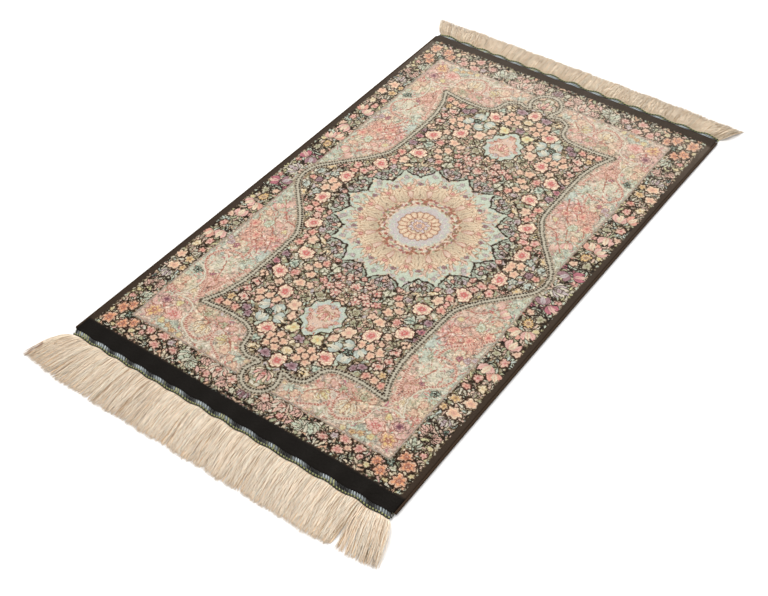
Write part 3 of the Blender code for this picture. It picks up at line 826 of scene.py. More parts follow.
def loose_flowers(chart, rng, mask, bed, placed):
    """Flowers strewn between the placed ones, mostly in the colours of the nearest patch."""
    sizes, apart, patches, loyalty, rim, gap, kinds = LOOSE_FLOWERS[bed]
    for x, y, radius in scatter(chart, rng, mask, placed, sizes, apart):
        if rng.random() < loyalty:
            way = min(patches, key=lambda patch: math.hypot(patch[0] - x, patch[1] - y))[2]
        else:
            way = rng.choice(LOOSE_WAYS)
        kind = rng.choice(kinds)
        turn = math.pi / 2 if x == 0 else rng.uniform(0, 2 * math.pi)
        if kind == "palmette":
            palmette(chart, x, y, 0.9 * radius, way, turn, rim, 5)
        else:
            flower(chart, kind, x, y, radius, way, 0.0 if y == 0 else turn, rim, gap)


def round_spots(rows):
    return [row[1:4] for row in rows]


def paint_field(chart, rng, field):
    """The dark field: leaves and loose flowers in hedged plots, then the placed flowers."""
    chart.dyed[field] = dye("moss")
    open_field = field & (np.hypot(chart.x, chart.y) > MEDALLION_CLEARING)
    foliage(chart, rng, open_field, "field")
    loose_flowers(chart, rng, open_field, "field",
                  round_spots(FIELD_FLOWERS) + [PENDANT_CLEARING])
    hedge(chart, rng, open_field, "field")
    foliage(chart, rng, open_field, "field stems")
    set_flowers(chart, FIELD_FLOWERS, "ground", 1.1)


def paint_pendant(chart, rng):
    """The aqua cartouche at each end of the medallion."""
    outline = flowing(PENDANT_OUTLINE, 2.0)
    shape = chart.inside(outline + [(-1, outline[-1][1]), (-1, outline[0][1])])
    distance, _ = chart.near(outline)
    off = np.where(shape, -distance, distance)
    for inset, colour in PENDANT_BANDS:
        chart.lay(EVERYWHERE, off - inset, colour)
    foliage(chart, rng, shape & (distance > 3), "pendant")
    set_flowers(chart, PENDANT_FLOWERS, "brown", 0.4)


def ring_marks(chart, rng, ring):
    """Small strokes strewn round the medallion, leaning to either side of outward."""
    for count, nearest, farthest, length, width, lean, colours in RING_MARKS[ring]:
        for _ in range(count):
            turn = rng.uniform(-0.1, math.pi / 2 + 0.1)
            out = rng.uniform(nearest, farthest)
            leaf(chart, *polar(out, turn), length * rng.uniform(0.6, 1.2), width,
                 turn + rng.choice((-1, 1)) * lean * rng.uniform(0.6, 1.3),
                 rng.choice(colours), None, rng.uniform(-1, 1))


def whorl(chart, ring, first, count):
    """One ring's petals and flower heads, at each point of the medallion or between them."""
    petals, heads = WHORLS[ring]
    for i in range(count):
        turn = (first + i) * POINT_TURN
        for out, lean, length, width, colour, vein, bend, rim in petals:
            leaf(chart, *polar(out, turn), length, width, turn + lean, colour, vein, bend, rim)
        for kind, out, radius, way, rim, gap in heads:
            if kind == "palmette":
                palmette(chart, *polar(out, turn), radius, way, turn, rim, 5)
            else:
                flower(chart, kind, *polar(out, turn), radius, way, turn, rim, gap)


def medallion_edge(chart):
    """The round medallion's window, polar places in it, and the distance from its edge."""
    spot, x, y = chart.window(0, 0, 150)
    away, angle = np.hypot(x, y), np.arctan2(y, x)
    share = np.abs((angle + POINT_TURN) % POINT_TURN - POINT_TURN / 2) / (POINT_TURN / 2)
    edge = BOWL_FOOT + BOWL_DEPTH * (0.5 * share ** 0.5 + 0.5 * share ** BOWL_CURVE)
    slope = 0.25 * (share + 0.05) ** -0.5 + 0.5 * BOWL_CURVE * share ** (BOWL_CURVE - 1)
    steep = np.hypot(1, BOWL_DEPTH * slope / (55 * POINT_TURN))
    return spot, away, angle, (away - edge) / steep


def paint_medallion(chart, rng):
    """The round medallion, from its rim inward: marks, petals, palmettes and a rosette."""
    spot, away, angle, off = medallion_edge(chart)

    def disc(radius, colour, scallop=0.0, waves=0, strength=1.0):
        edge = away - radius - scallop * np.abs(np.cos(waves * angle))
        chart.lay(spot, edge, colour, strength)

    disc(129, dye("aqua") * 0.84)
    chart.lay(spot, off, "aqua")
    ring_marks(chart, rng, "rim")
    whorl(chart, "rim", 0, MEDALLION_POINTS // 4 + 1)
    disc(80, "peach")
    whorl(chart, "petals", -0.5, MEDALLION_POINTS // 4 + 2)
    whorl(chart, "palmettes", 0, MEDALLION_POINTS // 4 + 1)
    disc(53, "brown", 3, MEDALLION_POINTS, 0.5)
    disc(52, "blush", 3, MEDALLION_POINTS)
    ring_marks(chart, rng, "collar")
    disc(41.5, "grey", 3.4, 10)
    disc(40, dye("lavender") * 1.02, 2.5, 10)
    ring_marks(chart, rng, "heart")

    # the rosette: petals with a seam between them and a pale drop in each
    half_petal = math.pi / ROSETTE_PETALS
    tips = 25 + 4.5 * np.abs(np.cos(ROSETTE_PETALS * angle / 2)) ** 0.6
    chart.lay(spot, away - tips - 1.2, "brown")
    chart.lay(spot, away - tips + 0.2, "peach")
    seat = (angle + half_petal) % (2 * half_petal) - half_petal
    seam = (half_petal - np.abs(seat)) * away - 0.7
    chart.lay(spot, np.maximum(seam, np.maximum(16 - away, away - 29)), "brown")
    chart.lay(spot, np.hypot(seat * away, (away - 24) * 0.5) - 1.5, "cream")
    disc(18, "russet")
    disc(16.6, "sand", 0.8, 6)
    for radius, way, gap in ((13.5, "lilac", 0.9), (8.0, "peach", 0.9), (4.5, "lilac", 0.6)):
        flower(chart, "daisy", 0, 0, radius, way, 0, "brown", gap)


def paint_bowls(chart, rng):
    """The posies in the bowls round the medallion: pale scales and bold dark stems."""
    for i in range(-1, MEDALLION_POINTS // 4 + 1):
        turn = (i + 0.5) * POINT_TURN
        for out, aside, lean in BOWL_SCALES:
            for side in both_sides(aside):
                leaf(chart, *polar(out, turn, side * aside), SCALE_LENGTH, SCALE_WIDTH,
                     turn + math.pi + side * lean, rng.choice(SCALE_DYES), "mauve", 0, "ground")
        for kind, out, aside, radius, way in BOWL_FLOWERS:
            for side in both_sides(aside):
                flower(chart, kind, *polar(out, turn, side * aside), radius, way, turn,
                       "ground", 1.2)
    for i in range(MEDALLION_POINTS // 4 + 1):
        turn = i * POINT_TURN
        flower(chart, "clover", *polar(BOWL_HORNS, turn), 5.0, "blush", turn, "ground", 1.2)
    spot, away, _, off = medallion_edge(chart)
    bowls = np.zeros(chart.x.shape, bool)
    bowls[spot] = (off > 0.5) & (away < BOWL_MOUTH)
    hedge(chart, rng, bowls, "bowls")
    ragged = 1.3 + 0.7 * np.sin(chart.x[spot] / 1.7) * np.sin(chart.y[spot] / 2.3)
    line = np.where(away < BOWL_LINE_END, np.abs(off - 1.2) - ragged, FAR_OFF)
    chart.lay(spot, line, "ground")


def paint_corners(chart, rng, corner):
    """The pale corner pieces: washes of colour, stems, small flowers, ropes."""
    weight = np.full(chart.x.shape + (1,), WASH_BASE)
    mixed = weight * dye("blush")
    for x, y, across, along, colour in CORNER_WASHES:
        away = ((chart.x - x) / across) ** 2 + ((chart.y - y) / along) ** 2
        near = np.exp(-WASH_FADE * away ** 2)[..., None]
        mixed += near * dye(colour)
        weight += near
    chart.dyed[corner] = (mixed / weight)[corner]
    foliage(chart, rng, corner, "corner ground")
    hedge(chart, rng, corner, "corner")
    loose_flowers(chart, rng, corner, "corner", round_spots(CORNER_FLOWERS))
    for x, y, across, along, colour in CORNER_BUSHES:
        spot, dx, dy = chart.window(x, y, across + along)
        rounded = np.hypot(dx / across, dy / along) + 0.06 * np.sin(7 * np.arctan2(dy, dx))
        chart.lay(spot, (rounded - 1) * across, colour, BUSH_STRENGTH)
    foliage(chart, rng, corner, "corner lines")
    for stem in CORNER_STEMS:
        stroke(chart, flowing(stem), STEM_LAYERS)
    foliage(chart, rng, corner, "corner lights")
    foliage(chart, rng, corner, "corner reds")
    set_flowers(chart, CORNER_FLOWERS, "brown", 0.4)
    for line in PALE_LINES:
        stroke(chart, flowing(line), PALE_LINE_LAYERS)
    for rope in ROPES:
        distance, along = chart.near(flowing(rope))
        chart.lay(EVERYWHERE, distance - ROPE_GROUND, "blush")
        dash = np.abs((along + ROPE_LEAN * distance) % ROPE_PITCH - ROPE_PITCH / 2) - ROPE_DASH
        chart.lay(EVERYWHERE, np.maximum(distance - ROPE_WIDTH, dash), "russet")


def paint_border(chart, rng, border):
    """The dark border: sprays of long leaves, then loose and placed flowers."""
    chart.dyed[border] = dye("ground")
    foliage(chart, rng, border, "border")
    for x, y, _ in scatter(chart, rng, border, [(0, 0, 1)], SPRAYS, SPRAYS_APART):
        turn = rng.uniform(0, 6.28)
        blades = rng.sample(BORDER_GREENS, 2) * 3
        for i, colour in enumerate(blades):
            share = 2 * i / (len(blades) - 1) - 1
            leaf(chart, x, y, BLADE_LENGTH * (1.1 - 0.4 * abs(share)), BLADE_WIDTH,
                 turn + BLADE_SPREAD * share, colour, None, BLADE_BEND * share, "ground")
    end_border = border & (chart.y > FRAME_Y)
    loose_flowers(chart, rng, border & ~end_border, "border", round_spots(BORDER_FLOWERS))
    hedge(chart, rng, border, "border")
    hedge(chart, rng, end_border, "end border")
    foliage(chart, rng, end_border, "end border")
    foliage(chart, rng, border, "border stems")
    set_flowers(chart, BORDER_FLOWERS, "ground", 1.2)


def paint_edge_leaves(chart, rng):
    """Leaf tips that stand out of the border into the plain guard."""
    for facing, length in ((0.0, BORDER_Y), (math.pi / 2, BORDER_X)):
        for i in range(int(length / TIP_PITCH)):
            here = i * TIP_PITCH + rng.uniform(-1.0, 1.0)
            foot = (here, BORDER_Y - TIP_FOOT) if facing else (BORDER_X - TIP_FOOT, here)
            turn = facing + rng.uniform(-1.0, 1.0)
            colour = rng.choice(TIP_DYES)
            leaf(chart, *foot, rng.uniform(*TIP_LENGTHS), TIP_WIDTH, turn, colour, None, 0.8,
                 "guard")


def paint_guard(chart):
    """The plain guard round the border, along whose edge the border's leaves end in tips."""
    for across, along, limit in ((chart.x, chart.y, BORDER_X), (chart.y, chart.x, BORDER_Y)):
        tips = GUARD_TEETH * np.abs(np.sin(along / 1.9 + np.sin(along / 7.3)))
        chart.lay(EVERYWHERE, limit - GUARD_TEETH / 2 + tips - across, "guard")


def paint_beads(chart, outline, field):
    """The band round the field: two rows of dark beads on a pale ground."""
    distance, along = chart.near(outline)
    chart.lay(EVERYWHERE, distance - BAND_SHADE, "brown", 0.5)
    chart.lay(EVERYWHERE, distance - BAND_REACH, dye("grey") * 0.97)
    bead = np.hypot(along % BEAD_PITCH - BEAD_PITCH / 2, distance - BEAD_ROW) - BEAD_RADIUS
    chart.lay(EVERYWHERE, bead, "ground", np.where(field, 1.0, 0.7)[..., None])


def paint_quarter():
    """The whole quarter, from the guard in to the middle."""
    rng = random.Random(SEED)
    chart = Chart(QUARTER_X, QUARTER_Y, CHART_STEP)
    chart.dyed[:] = dye("guard")
    outline = field_outline()
    field = chart.inside(outline + [(-1, 0), (-1, LOBE_CENTRE + LOBE_RADIUS)])
    frame_inside = (chart.x < FRAME_X) & (chart.y < FRAME_Y)
    border = (chart.x < BORDER_X) & (chart.y < BORDER_Y) & ~frame_inside & ~field
    paint_edge_leaves(chart, rng)
    paint_border(chart, rng, border)
    paint_guard(chart)
    paint_corners(chart, rng, frame_inside & ~field)
    stroke(chart, [(-9, FRAME_Y), (FRAME_X, FRAME_Y), (FRAME_X, -9)], FRAME_LAYERS)
    paint_field(chart, rng, field)
    paint_medallion(chart, rng)
    paint_bowls(chart, rng)
    paint_pendant(chart, rng)
    paint_beads(chart, outline, field)
    return chart


# ---- the lie of the cloth
def half_width(y):
    """Half the rug's width at y, measured from the cloth's middle."""
    share = np.minimum(np.abs(y) / HALF_LENGTH, 1.0)
    return RUG_HALF_WIDTH - WAIST * (1 - share * share)


def arc_drop(past):
    """How far a rounded corner falls back, this far past the start of its arc."""
    return CORNER_RADIUS - np.sqrt(CORNER_RADIUS ** 2 - np.clip(past, 0, CORNER_RADIUS) ** 2)


def crest_profile(end, x):
    """Height of the rippled end above the surface at x."""
    height = np.zeros(np.shape(x))
    for crest_x, crest_height in ENDS[end]["crests"]:
        share = np.clip(np.abs(x - crest_x) / CREST_HALF_WIDTH, 0, 1)
        height = np.maximum(height, crest_height * np.cos(math.pi * share / 2) ** 2)
    return height


def lift(x, y):
    """How far the underside of the cloth is above the surface at a point."""
    inward = HALF_LENGTH + FRINGE_ROOT - np.abs(y)
    fade = (1 - np.clip(inward / RIPPLE_REACH, 0, 1)) ** 2
    beyond = np.clip((np.abs(y) - HALF_LENGTH) / FINISH_REACH, 0, 1)
    near, far = (crest_profile(end, x) * (pile + (band - pile) * beyond)
                 for end, (pile, band) in ((name, ENDS[name]["settled"]) for name in ENDS))
    return np.where(y < 0, near, far) * fade


def cloth_points(x, y):
    """Places on the cloth for rows and columns, drawn in at the waist and the corners."""
    grid_x, grid_y = np.meshgrid(x, y)
    drawn = (half_width(grid_y) - (RUG_HALF_WIDTH - PILE_HALF_WIDTH)) / PILE_HALF_WIDTH
    to_end = np.clip((np.abs(grid_y) - HALF_LENGTH + TURN_REACH) / TURN_REACH, 0, 1)
    drop = arc_drop(np.abs(grid_x) - STRAIGHT_HALF_WIDTH)
    grid_y = grid_y - np.sign(grid_y) * drop * to_end
    return grid_x * drawn, grid_y


# ---- making pieces
def grid_faces(rows, columns, first=0):
    """Corners of the faces between rows of points, each row this many points long."""
    start = first + np.arange(rows - 1)[:, None] * columns + np.arange(columns - 1)
    start = start.reshape(-1, 1)
    return np.concatenate([start, start + 1, start + columns + 1, start + columns], axis=1)


def edge_lines(rows, columns, near_end=True, far_end=True):
    """The points along a grid's outer edges, each line walked so that its wall faces out."""
    lines = [np.arange(rows)[::-1] * columns, np.arange(rows) * columns + columns - 1]
    if near_end:
        lines.append(np.arange(columns))
    if far_end:
        lines.append(((rows - 1) * columns + np.arange(columns))[::-1])
    return lines


def wall(top, foot):
    """The faces between a line of points and the line below it."""
    return np.stack([top[:-1], foot[:-1], foot[1:], top[1:]], axis=1)


def add_piece(name, points, faces, material, node):
    """A piece of the rug from its points, seen from the cloth's middle, and its faces."""
    mesh = bpy.data.meshes.new(name)
    placed = np.asarray(points, float) + (MIDDLE_X, MIDDLE_Y, 0.0)
    mesh.vertices.add(len(placed))
    mesh.vertices.foreach_set("co", placed.astype(np.float32).ravel())
    corners = np.asarray(faces, np.int32)
    mesh.loops.add(corners.size)
    mesh.loops.foreach_set("vertex_index", corners.ravel())
    mesh.polygons.add(len(corners))
    mesh.polygons.foreach_set("loop_start", np.arange(len(corners), dtype=np.int32) * 4)
    mesh.update(calc_edges=True)
    mesh.validate()
    mesh.materials.append(material)
    mesh.shade_smooth()
    piece = bpy.data.objects.new(name, mesh)
    bpy.context.scene.collection.objects.link(piece)
    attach(piece, "root")
    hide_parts(node)
    return piece


def dye_faces(piece, colours):
    """Give each face its colour: the silk that a knot or a thread was dyed, with the painted
    sheen and shade that the pile, the stitches and the locks carry.
    """
    layer = piece.data.color_attributes.new("dye_and_painted_light", "FLOAT_COLOR", "CORNER")
    linear = np.where(colours <= 0.04045, colours / 12.92, ((colours + 0.055) / 1.055) ** 2.4)
    rows = np.concatenate([linear, np.ones((len(linear), 1))], axis=1)
    layer.data.foreach_set("color", np.repeat(rows, 4, axis=0).astype(np.float32).ravel())


# ---- the knotted pile
def stray(shape, draw):
    """How far each knot strays from the drawing, partly together with its neighbours."""
    own = draw.standard_normal(shape)
    turns = [(i, j) for i in (-1, 0, 1) for j in (-1, 0, 1)]
    shared = sum(np.roll(own, turn, (0, 1)) for turn in turns) / len(turns) ** 0.5
    return STRAY_SHARED * shared + STRAY_OWN * own


def widened(place, start, run, by):
    """Pattern places drawn to one side beyond start, so that one border is the wider."""
    return place - by * np.clip((np.abs(place) - start) / run, 0, 1)


def knot_colours(across, along):
    """The colour of each knot, from the chart of a quarter mirrored to all four, with painted
    sheen and shade along the rug.
    """
    chart = paint_quarter()
    x, y = np.meshgrid(across - PATTERN_SHIFT[0], along - PATTERN_SHIFT[1])
    # a weaver's hand: the pattern wanders a little from its mirrored drawing
    x = x + 0.8 * np.sin(y / 47 + 1.0) + 0.5 * np.sin(x / 29 + y / 61)
    y = y + 0.8 * np.sin(x / 41 + 2.0) + 0.5 * np.sin(y / 23 - x / 53)
    x, y = widened(x, *WIDER_ACROSS), widened(y, *WIDER_ALONG)
    draw = np.random.default_rng(SEED)
    x = x + stray(x.shape, draw)
    y = y + stray(y.shape, draw)
    colours = chart.at(x, y) / 255
    # painted sheen and shade: knots paled toward the sheen's colour where the share is above 0,
    # darkened as shade where it is below 0
    painted_light = np.interp(along, *zip(*PAINTED_SHEEN_AND_SHADE))[:, None, None]
    colours += np.maximum(painted_light, 0) * (PAINTED_SHEEN_COLOUR - colours) + np.minimum(painted_light, 0) * colours
    colours *= 1 + UNEVEN_DYE * draw.standard_normal(colours.shape[:2])[..., None]
    return np.clip(colours, 0, 1) * DYE_DEPTH ** (1 / 2.2)


def build_pile(material):
    """The pile in strips along the rug: a face for each knot, and its edge all round."""
    x, y = (np.linspace(-half, half, round(2 * half / (KNOT * MM)) + 1)
            for half in (PILE_HALF_WIDTH, HALF_LENGTH))
    colours = knot_colours((x[1:] + x[:-1]) / 2 / MM, (y[1:] + y[:-1]) / 2 / MM)
    draw = np.random.default_rng(SEED)
    to_edge = np.minimum(PILE_HALF_WIDTH - np.abs(x), (HALF_LENGTH - np.abs(y))[:, None])
    rounded = np.clip(1 - to_edge / RIM_WIDTH, 0, 1) ** 2 * RIM_DROP
    grid_x, grid_y = cloth_points(x, y)
    height = lift(grid_x, grid_y) + PILE_THICKNESS - rounded
    height += UNEVEN_CUT * draw.standard_normal(height.shape)
    points = np.stack([grid_x, grid_y, height], axis=-1)
    cuts = np.linspace(0, len(y) - 1, PILE_STRIPS + 1).astype(int)
    pieces = []
    for i, (first, last) in enumerate(zip(cuts, cuts[1:])):
        rows = points[first:last + 1]
        flat = rows.reshape(-1, 3)
        # the pile's edge, down to the back
        lines = edge_lines(*rows.shape[:2], i == 0, i == PILE_STRIPS - 1)
        feet = flat[np.concatenate(lines)]
        feet[:, 2] = lift(feet[:, 0], feet[:, 1]) + BACK_THICKNESS
        faces = [grid_faces(*rows.shape[:2])]
        start = len(flat)
        for line in lines:
            faces.append(wall(line, start + np.arange(len(line))))
            start += len(line)
        # the knots' colours, with the painted sheen and shade along the rug
        dyed = colours[first:last].reshape(-1, 3)
        points_of_strip, faces = np.concatenate([flat, feet]), np.concatenate(faces)
        edge = np.tile(np.array(DYES["guard"]) / 255, (len(faces) - len(dyed), 1))
        piece = add_piece(f"pile_strip_{i + 1}", points_of_strip, faces, material, "pile")
        dye_faces(piece, np.concatenate([dyed, edge]))
        unfold(piece, points_of_strip)
        pieces.append(piece)
    return pieces


def unfold(piece, points):
    """A map of the strip in side-by-side columns, so that its map comes out near square."""
    corner = np.empty(len(piece.data.loops), np.int32)
    piece.data.loops.foreach_get("vertex_index", corner)
    low, size = points.min(axis=0), np.ptp(points, axis=0)
    across, up = ((points[corner] - low) / size)[:, :2].reshape(-1, 4, 2).transpose(2, 0, 1)
    count = max(1, round(math.sqrt(size[0] / size[1])))
    lane = np.clip((across.mean(axis=1) * count).astype(int), 0, count - 1)[:, None]
    u = 0.002 + 0.996 * (across * count - lane)
    v = (lane + 0.002 + 0.99 * up) / count
    layer = piece.data.uv_layers.new(name="OFBake")
    layer.uv.foreach_set("vector", np.stack([u, v], axis=-1).astype(np.float32).ravel())


def build_back(material):
    """The flat-woven ground that holds the knots: a thin sheet, seen from underneath."""
    x = np.linspace(-PILE_HALF_WIDTH, PILE_HALF_WIDTH, 61)
    y = np.linspace(-HALF_LENGTH, HALF_LENGTH, 83)
    grid_x, grid_y = cloth_points(x, y)
    shape = grid_x.shape
    low = np.stack([grid_x, grid_y, lift(grid_x, grid_y)], axis=-1).reshape(-1, 3)
    high = low + (0.0, 0.0, BACK_THICKNESS)
    faces = [grid_faces(*shape)[:, ::-1], grid_faces(*shape, first=len(low))]
    faces += [wall(line + len(low), line) for line in edge_lines(*shape)]
    piece = add_piece("woven_back", np.concatenate([low, high]), np.concatenate(faces),
                      material, "pile")
    return piece


# ---- threads
def add_threads(name, paths, radii, sides, material, node, dyes=None, flatten=1.0):
    """A piece of many tubes: paths is threads by points by 3, radii likewise, and dyes is
    threads by stretches by 3, or by one stretch."""
    along = np.gradient(paths, axis=1)
    along /= np.linalg.norm(along, axis=2, keepdims=True) + 1e-12
    aside = np.cross(along, (0.0, 0.0, 1.0))
    aside /= np.linalg.norm(aside, axis=2, keepdims=True) + 1e-12
    up = np.cross(aside, along)
    turn = np.arange(sides) * 2 * math.pi / sides
    ring = (np.cos(turn)[:, None] * aside[:, :, None, :]
            + np.sin(turn)[:, None] * up[:, :, None, :] * flatten)
    radii = radii * np.ones(paths.shape[:2])
    points = paths[:, :, None, :] + ring * radii[:, :, None, None]
    count, stations = paths.shape[:2]
    base = np.arange(count)[:, None, None] * stations * sides
    step = np.arange(stations - 1)[None, :, None] * sides
    a = base + step + np.arange(sides)
    b = base + step + (np.arange(sides) + 1) % sides
    faces = np.stack([a, a + sides, b + sides, b], axis=-1).reshape(-1, 4)
    piece = add_piece(name, points.reshape(-1, 3), faces, material, node)
    if dyes is not None:
        dyes = np.broadcast_to(dyes[:, :, None], (count, stations - 1, sides, 3))
        dye_faces(piece, np.clip(dyes.reshape(-1, 3), 0, 1))
    return piece


def wander(x, seed, waves):
    """A smooth sideways drift that neighbours share: waves of these lengths and heights."""
    draw = random.Random(seed)
    total = np.zeros_like(x)
    for length, height in waves:
        total += height * np.sin(2 * math.pi * (x / length + draw.random()))
    return total[:, None]


def fringe_paths(end, root, stations, draw, loose):
    """Paths of threads or locks: out of the cloth's end, over its ripples, down, along."""
    facts = ENDS[end]
    side, length = facts["side"], facts["fringe"]
    s = np.linspace(0, 1, stations)[None, :]

    def each():
        return draw.random((len(root), 1))

    # across the rug: fanned at the corners, swaying with its neighbours, waved on its own
    sway = wander(root, SEED + side, SWAY)
    own = loose * OWN_LEAN * length * (each() + each() - 1)
    corner = np.clip((np.abs(root) - CORNER_FROM) / CORNER_RUN, 0, 1)[:, None] ** 2
    fan = np.interp(root, *zip(*facts["fan"]))[:, None]
    x = root[:, None] + fan * s ** (1.25 - 0.6 * corner)
    x = x + sway * s ** 1.4 + own * s
    for height, bends in THREAD_WAVES:
        x = x + loose * height * np.sin(bends * s + 2 * math.pi * each()) * s ** 0.5
    if facts["gap"]:
        aside = (root - facts["gap"])[:, None]
        parted = np.clip((s - 0.45) / 0.55, 0, 1) * np.exp(-np.abs(aside) / PARTING_WIDTH)
        x = x + PARTING * np.sign(aside) * parted

    # away from the rug
    reach = length * (1 - OWN_LENGTH * each() ** 2 * loose) * (1 - facts["trim"] * corner)
    reach = reach + wander(root, SEED + 5 + side, END_WAVES)
    start = FINISH_REACH + 1.6 * CORD_RADIUS
    y = side * (HALF_LENGTH + start + (FRINGE_ROOT - start + reach) * s)

    # down from the ripples, and puffed up a little where it lies
    root_z = lift(root, side * (HALF_LENGTH + FRINGE_ROOT))[:, None]
    landed = np.clip(1 - s * reach / (2.0 * LANDING), 0, 1)
    puff = facts["puff"] * (1 + 1.2 * corner) + wander(root, SEED + 9, PUFF_WAVES)
    z = root_z * landed ** 1.6 + puff * np.sin(math.pi * np.clip(s, 0, 1) ** 0.8) ** 1.2
    return x, y, z, s


def thread_dyes(end, root, down, draw, undyed):
    """Each thread's silk at some shares of its length: a little its own, greyer to the tip."""
    shade = 1 + THREAD_SHADE * draw.standard_normal(len(root))
    warm = THREAD_WARMTH * draw.standard_normal(len(root))
    colour = undyed * shade[:, None] + warm[:, None] * (1, 0, -0.6)
    # some threads darkened: partly uneven silk, partly painted shade between the threads
    colour[draw.random(len(root)) < SHADED_SHARE] *= SHADED_THREAD
    share = down[None, :, None]
    tip = np.clip((share - TIP_FROM) / (1 - TIP_FROM), 0, 1) * TIP_STRENGTH
    dyes = colour[:, None, :] * (1 - DULLED * share) * (1 - tip)
    dyes = dyes + tip * np.array(TIP_DYE) / 255 * undyed
    for stray_end, place, begins, stops, name in STRAY_THREADS:
        if stray_end == end:
            found = np.abs(root - place) < STRAY_WIDTH
            dyes[np.ix_(found, (down > begins) & (down < stops))] = dye(name) / 255
    return dyes


def build_fringe(end, material):
    """Silk warp ends: flat locks that close the fringe, and loose threads over them."""
    draw = np.random.default_rng(SEED + 10 + ENDS[end]["side"])
    count, stations = ENDS[end]["threads"], ENDS[end]["stations"]
    first, last = ENDS[end]["from"], ENDS[end]["to"]
    undyed = np.array(ENDS[end]["fringe_dye"]) / 255
    root = np.linspace(first, last, count)
    root = np.clip(root + ROOT_SCATTER * draw.standard_normal(count), first, last)
    x, y, z, s = fringe_paths(end, root, stations, draw, 1.0)
    radii = THREAD_RADIUS * (0.7 + 0.6 * draw.random((count, 1))) * (1 - 0.3 * s ** 3)
    radii[:, -1] *= 0.2
    layer = LAYER_DEPTH * draw.random((count, 1)) + LAYER_LOW
    z = z + radii + layer * (1 - 0.6 * s) * np.clip(s / 0.12, 0, 1)
    z = z + CURL * draw.random((count, 1)) * np.sin(6 * s + 6.28 * draw.random((count, 1))) ** 2
    dyes = thread_dyes(end, root, (s[0, 1:] + s[0, :-1]) / 2, draw, undyed)
    piece = add_threads(f"{end}_fringe_threads", np.stack([x, y, z], axis=-1), radii, 3,
                        material, f"{end}_fringe", dyes)

    root = np.linspace(first + LOCK_INSET, last - LOCK_INSET, LOCKS)
    x, y, z, s = fringe_paths(end, root, stations, draw, 0.4)
    radii = LOCK_RADIUS * (1 - 0.25 * s ** 2)
    radii[:, -1] *= 0.3
    y = ENDS[end]["side"] * (np.abs(y) - 0.003 * s)
    z = np.maximum(z * 0.75, 0.0) + 0.0004
    shade = 1 + LOCK_SHADE * draw.standard_normal((LOCKS, 1, 1))
    # the locks' silk, darkened by the painted shade under the threads
    under = add_threads(f"{end}_fringe_locks", np.stack([x, y, z], axis=-1), radii, 4,
                        material, f"{end}_fringe", undyed * shade * LOCK_PAINTED_SHADE, 0.2)
    return [piece, under]


def end_points(end, x, outward, height):
    """Points over the end of the cloth, so far out of the pile's edge and so high."""
    drop = arc_drop(np.abs(x) - STRAIGHT_HALF_WIDTH) * np.clip(1 - outward / FRINGE_ROOT, 0, 1)
    y = ENDS[end]["side"] * (HALF_LENGTH - drop + outward)
    return np.stack([x, y, lift(x, y) + height], axis=-1)


def short_turns(first, last, pitch, slant):
    """Slanting turns of silk side by side: their middles, their points' places across the
    rug, and each point's share of its turn."""
    middle = np.linspace(first, last, round((last - first) / pitch))
    s = np.linspace(0, 1, TURN_STATIONS)[None, :]
    return middle, middle[:, None] + slant * (s - 0.5), s


def build_stitching(end, material):
    """Slanting stitches in two dyes over the flat-woven end."""
    draw = np.random.default_rng(SEED + 20 + ENDS[end]["side"])
    first, last = ENDS[end]["from"] + STITCH_INSET, ENDS[end]["to"] - STITCH_INSET
    middle, x, s = short_turns(first, last, STITCH_PITCH, STITCH_PITCH * 1.5)
    count = len(middle)
    x = x + 0.0002 * draw.standard_normal((count, 1))
    outward = STITCH_FROM + (STITCH_TO - STITCH_FROM) * s
    swell = np.sin(math.pi * (0.12 + 0.76 * s))
    # from the top of the pile's edge down to the flat-woven end
    height = STITCH_TOP * (1 - s) ** 1.5 + STITCH_FOOT * s + STITCH_SWELL * swell
    green = np.sin(middle / 0.013 + 1) + 0.5 * draw.standard_normal(count) > 0.9
    dyes = np.where(green[:, None], STITCH_DYES["green"], STITCH_DYES["blue"])
    dyes[1::2] = STITCH_DYES["dark"]
    # painted light: stitches on the crests keep their dye, those in the hollows are darkened as
    # painted shade
    raised = np.clip(crest_profile(end, middle) / 0.0030, 0, 1)[:, None]
    dyes = dyes / 255 * (CREST_LIGHT * raised + HOLLOW_LIGHT)
    dyes = dyes * (1 + 0.06 * draw.standard_normal((count, 1)))
    piece = add_threads(f"{end}_stitches", end_points(end, x, outward, height),
                        STITCH_RADIUS * swell, 5, material, f"{end}_stitching", dyes[:, None])
    return piece


def build_chain(end, material):
    """Two strands, dark and green, twined round each other along the stitching's edge."""
    first, last = ENDS[end]["from"], ENDS[end]["to"]
    middle, x, s = short_turns(first, last, CHAIN_PITCH / 2, CHAIN_PITCH * 0.62)
    swell = np.sin(math.pi * (0.1 + 0.8 * s))
    outward = CORD_AXIS - 0.0010 + 0.0006 * (s - 0.5) * 2
    dyes = np.array(CHAIN_DYES)[np.arange(len(middle)) % 2] / 255
    paths = end_points(end, x, outward, CORD_RADIUS + 0.0009 * swell)
    piece = add_threads(f"{end}_twined_cord", paths, CHAIN_RADIUS * swell, 6, material,
                        f"{end}_cord", dyes[:, None])
    x = np.linspace(first, last, 260)[None, :]
    outward = CORD_AXIS + 0.0004 + 0.0002 * np.sin(2 * math.pi * x / CHAIN_PITCH)
    line = add_threads(f"{end}_edge_cord", end_points(end, x, outward, 0.0015),
                       EDGE_CORD_RADIUS, 6, material, f"{end}_cord", dyes[:1, None])
    return [piece, line]


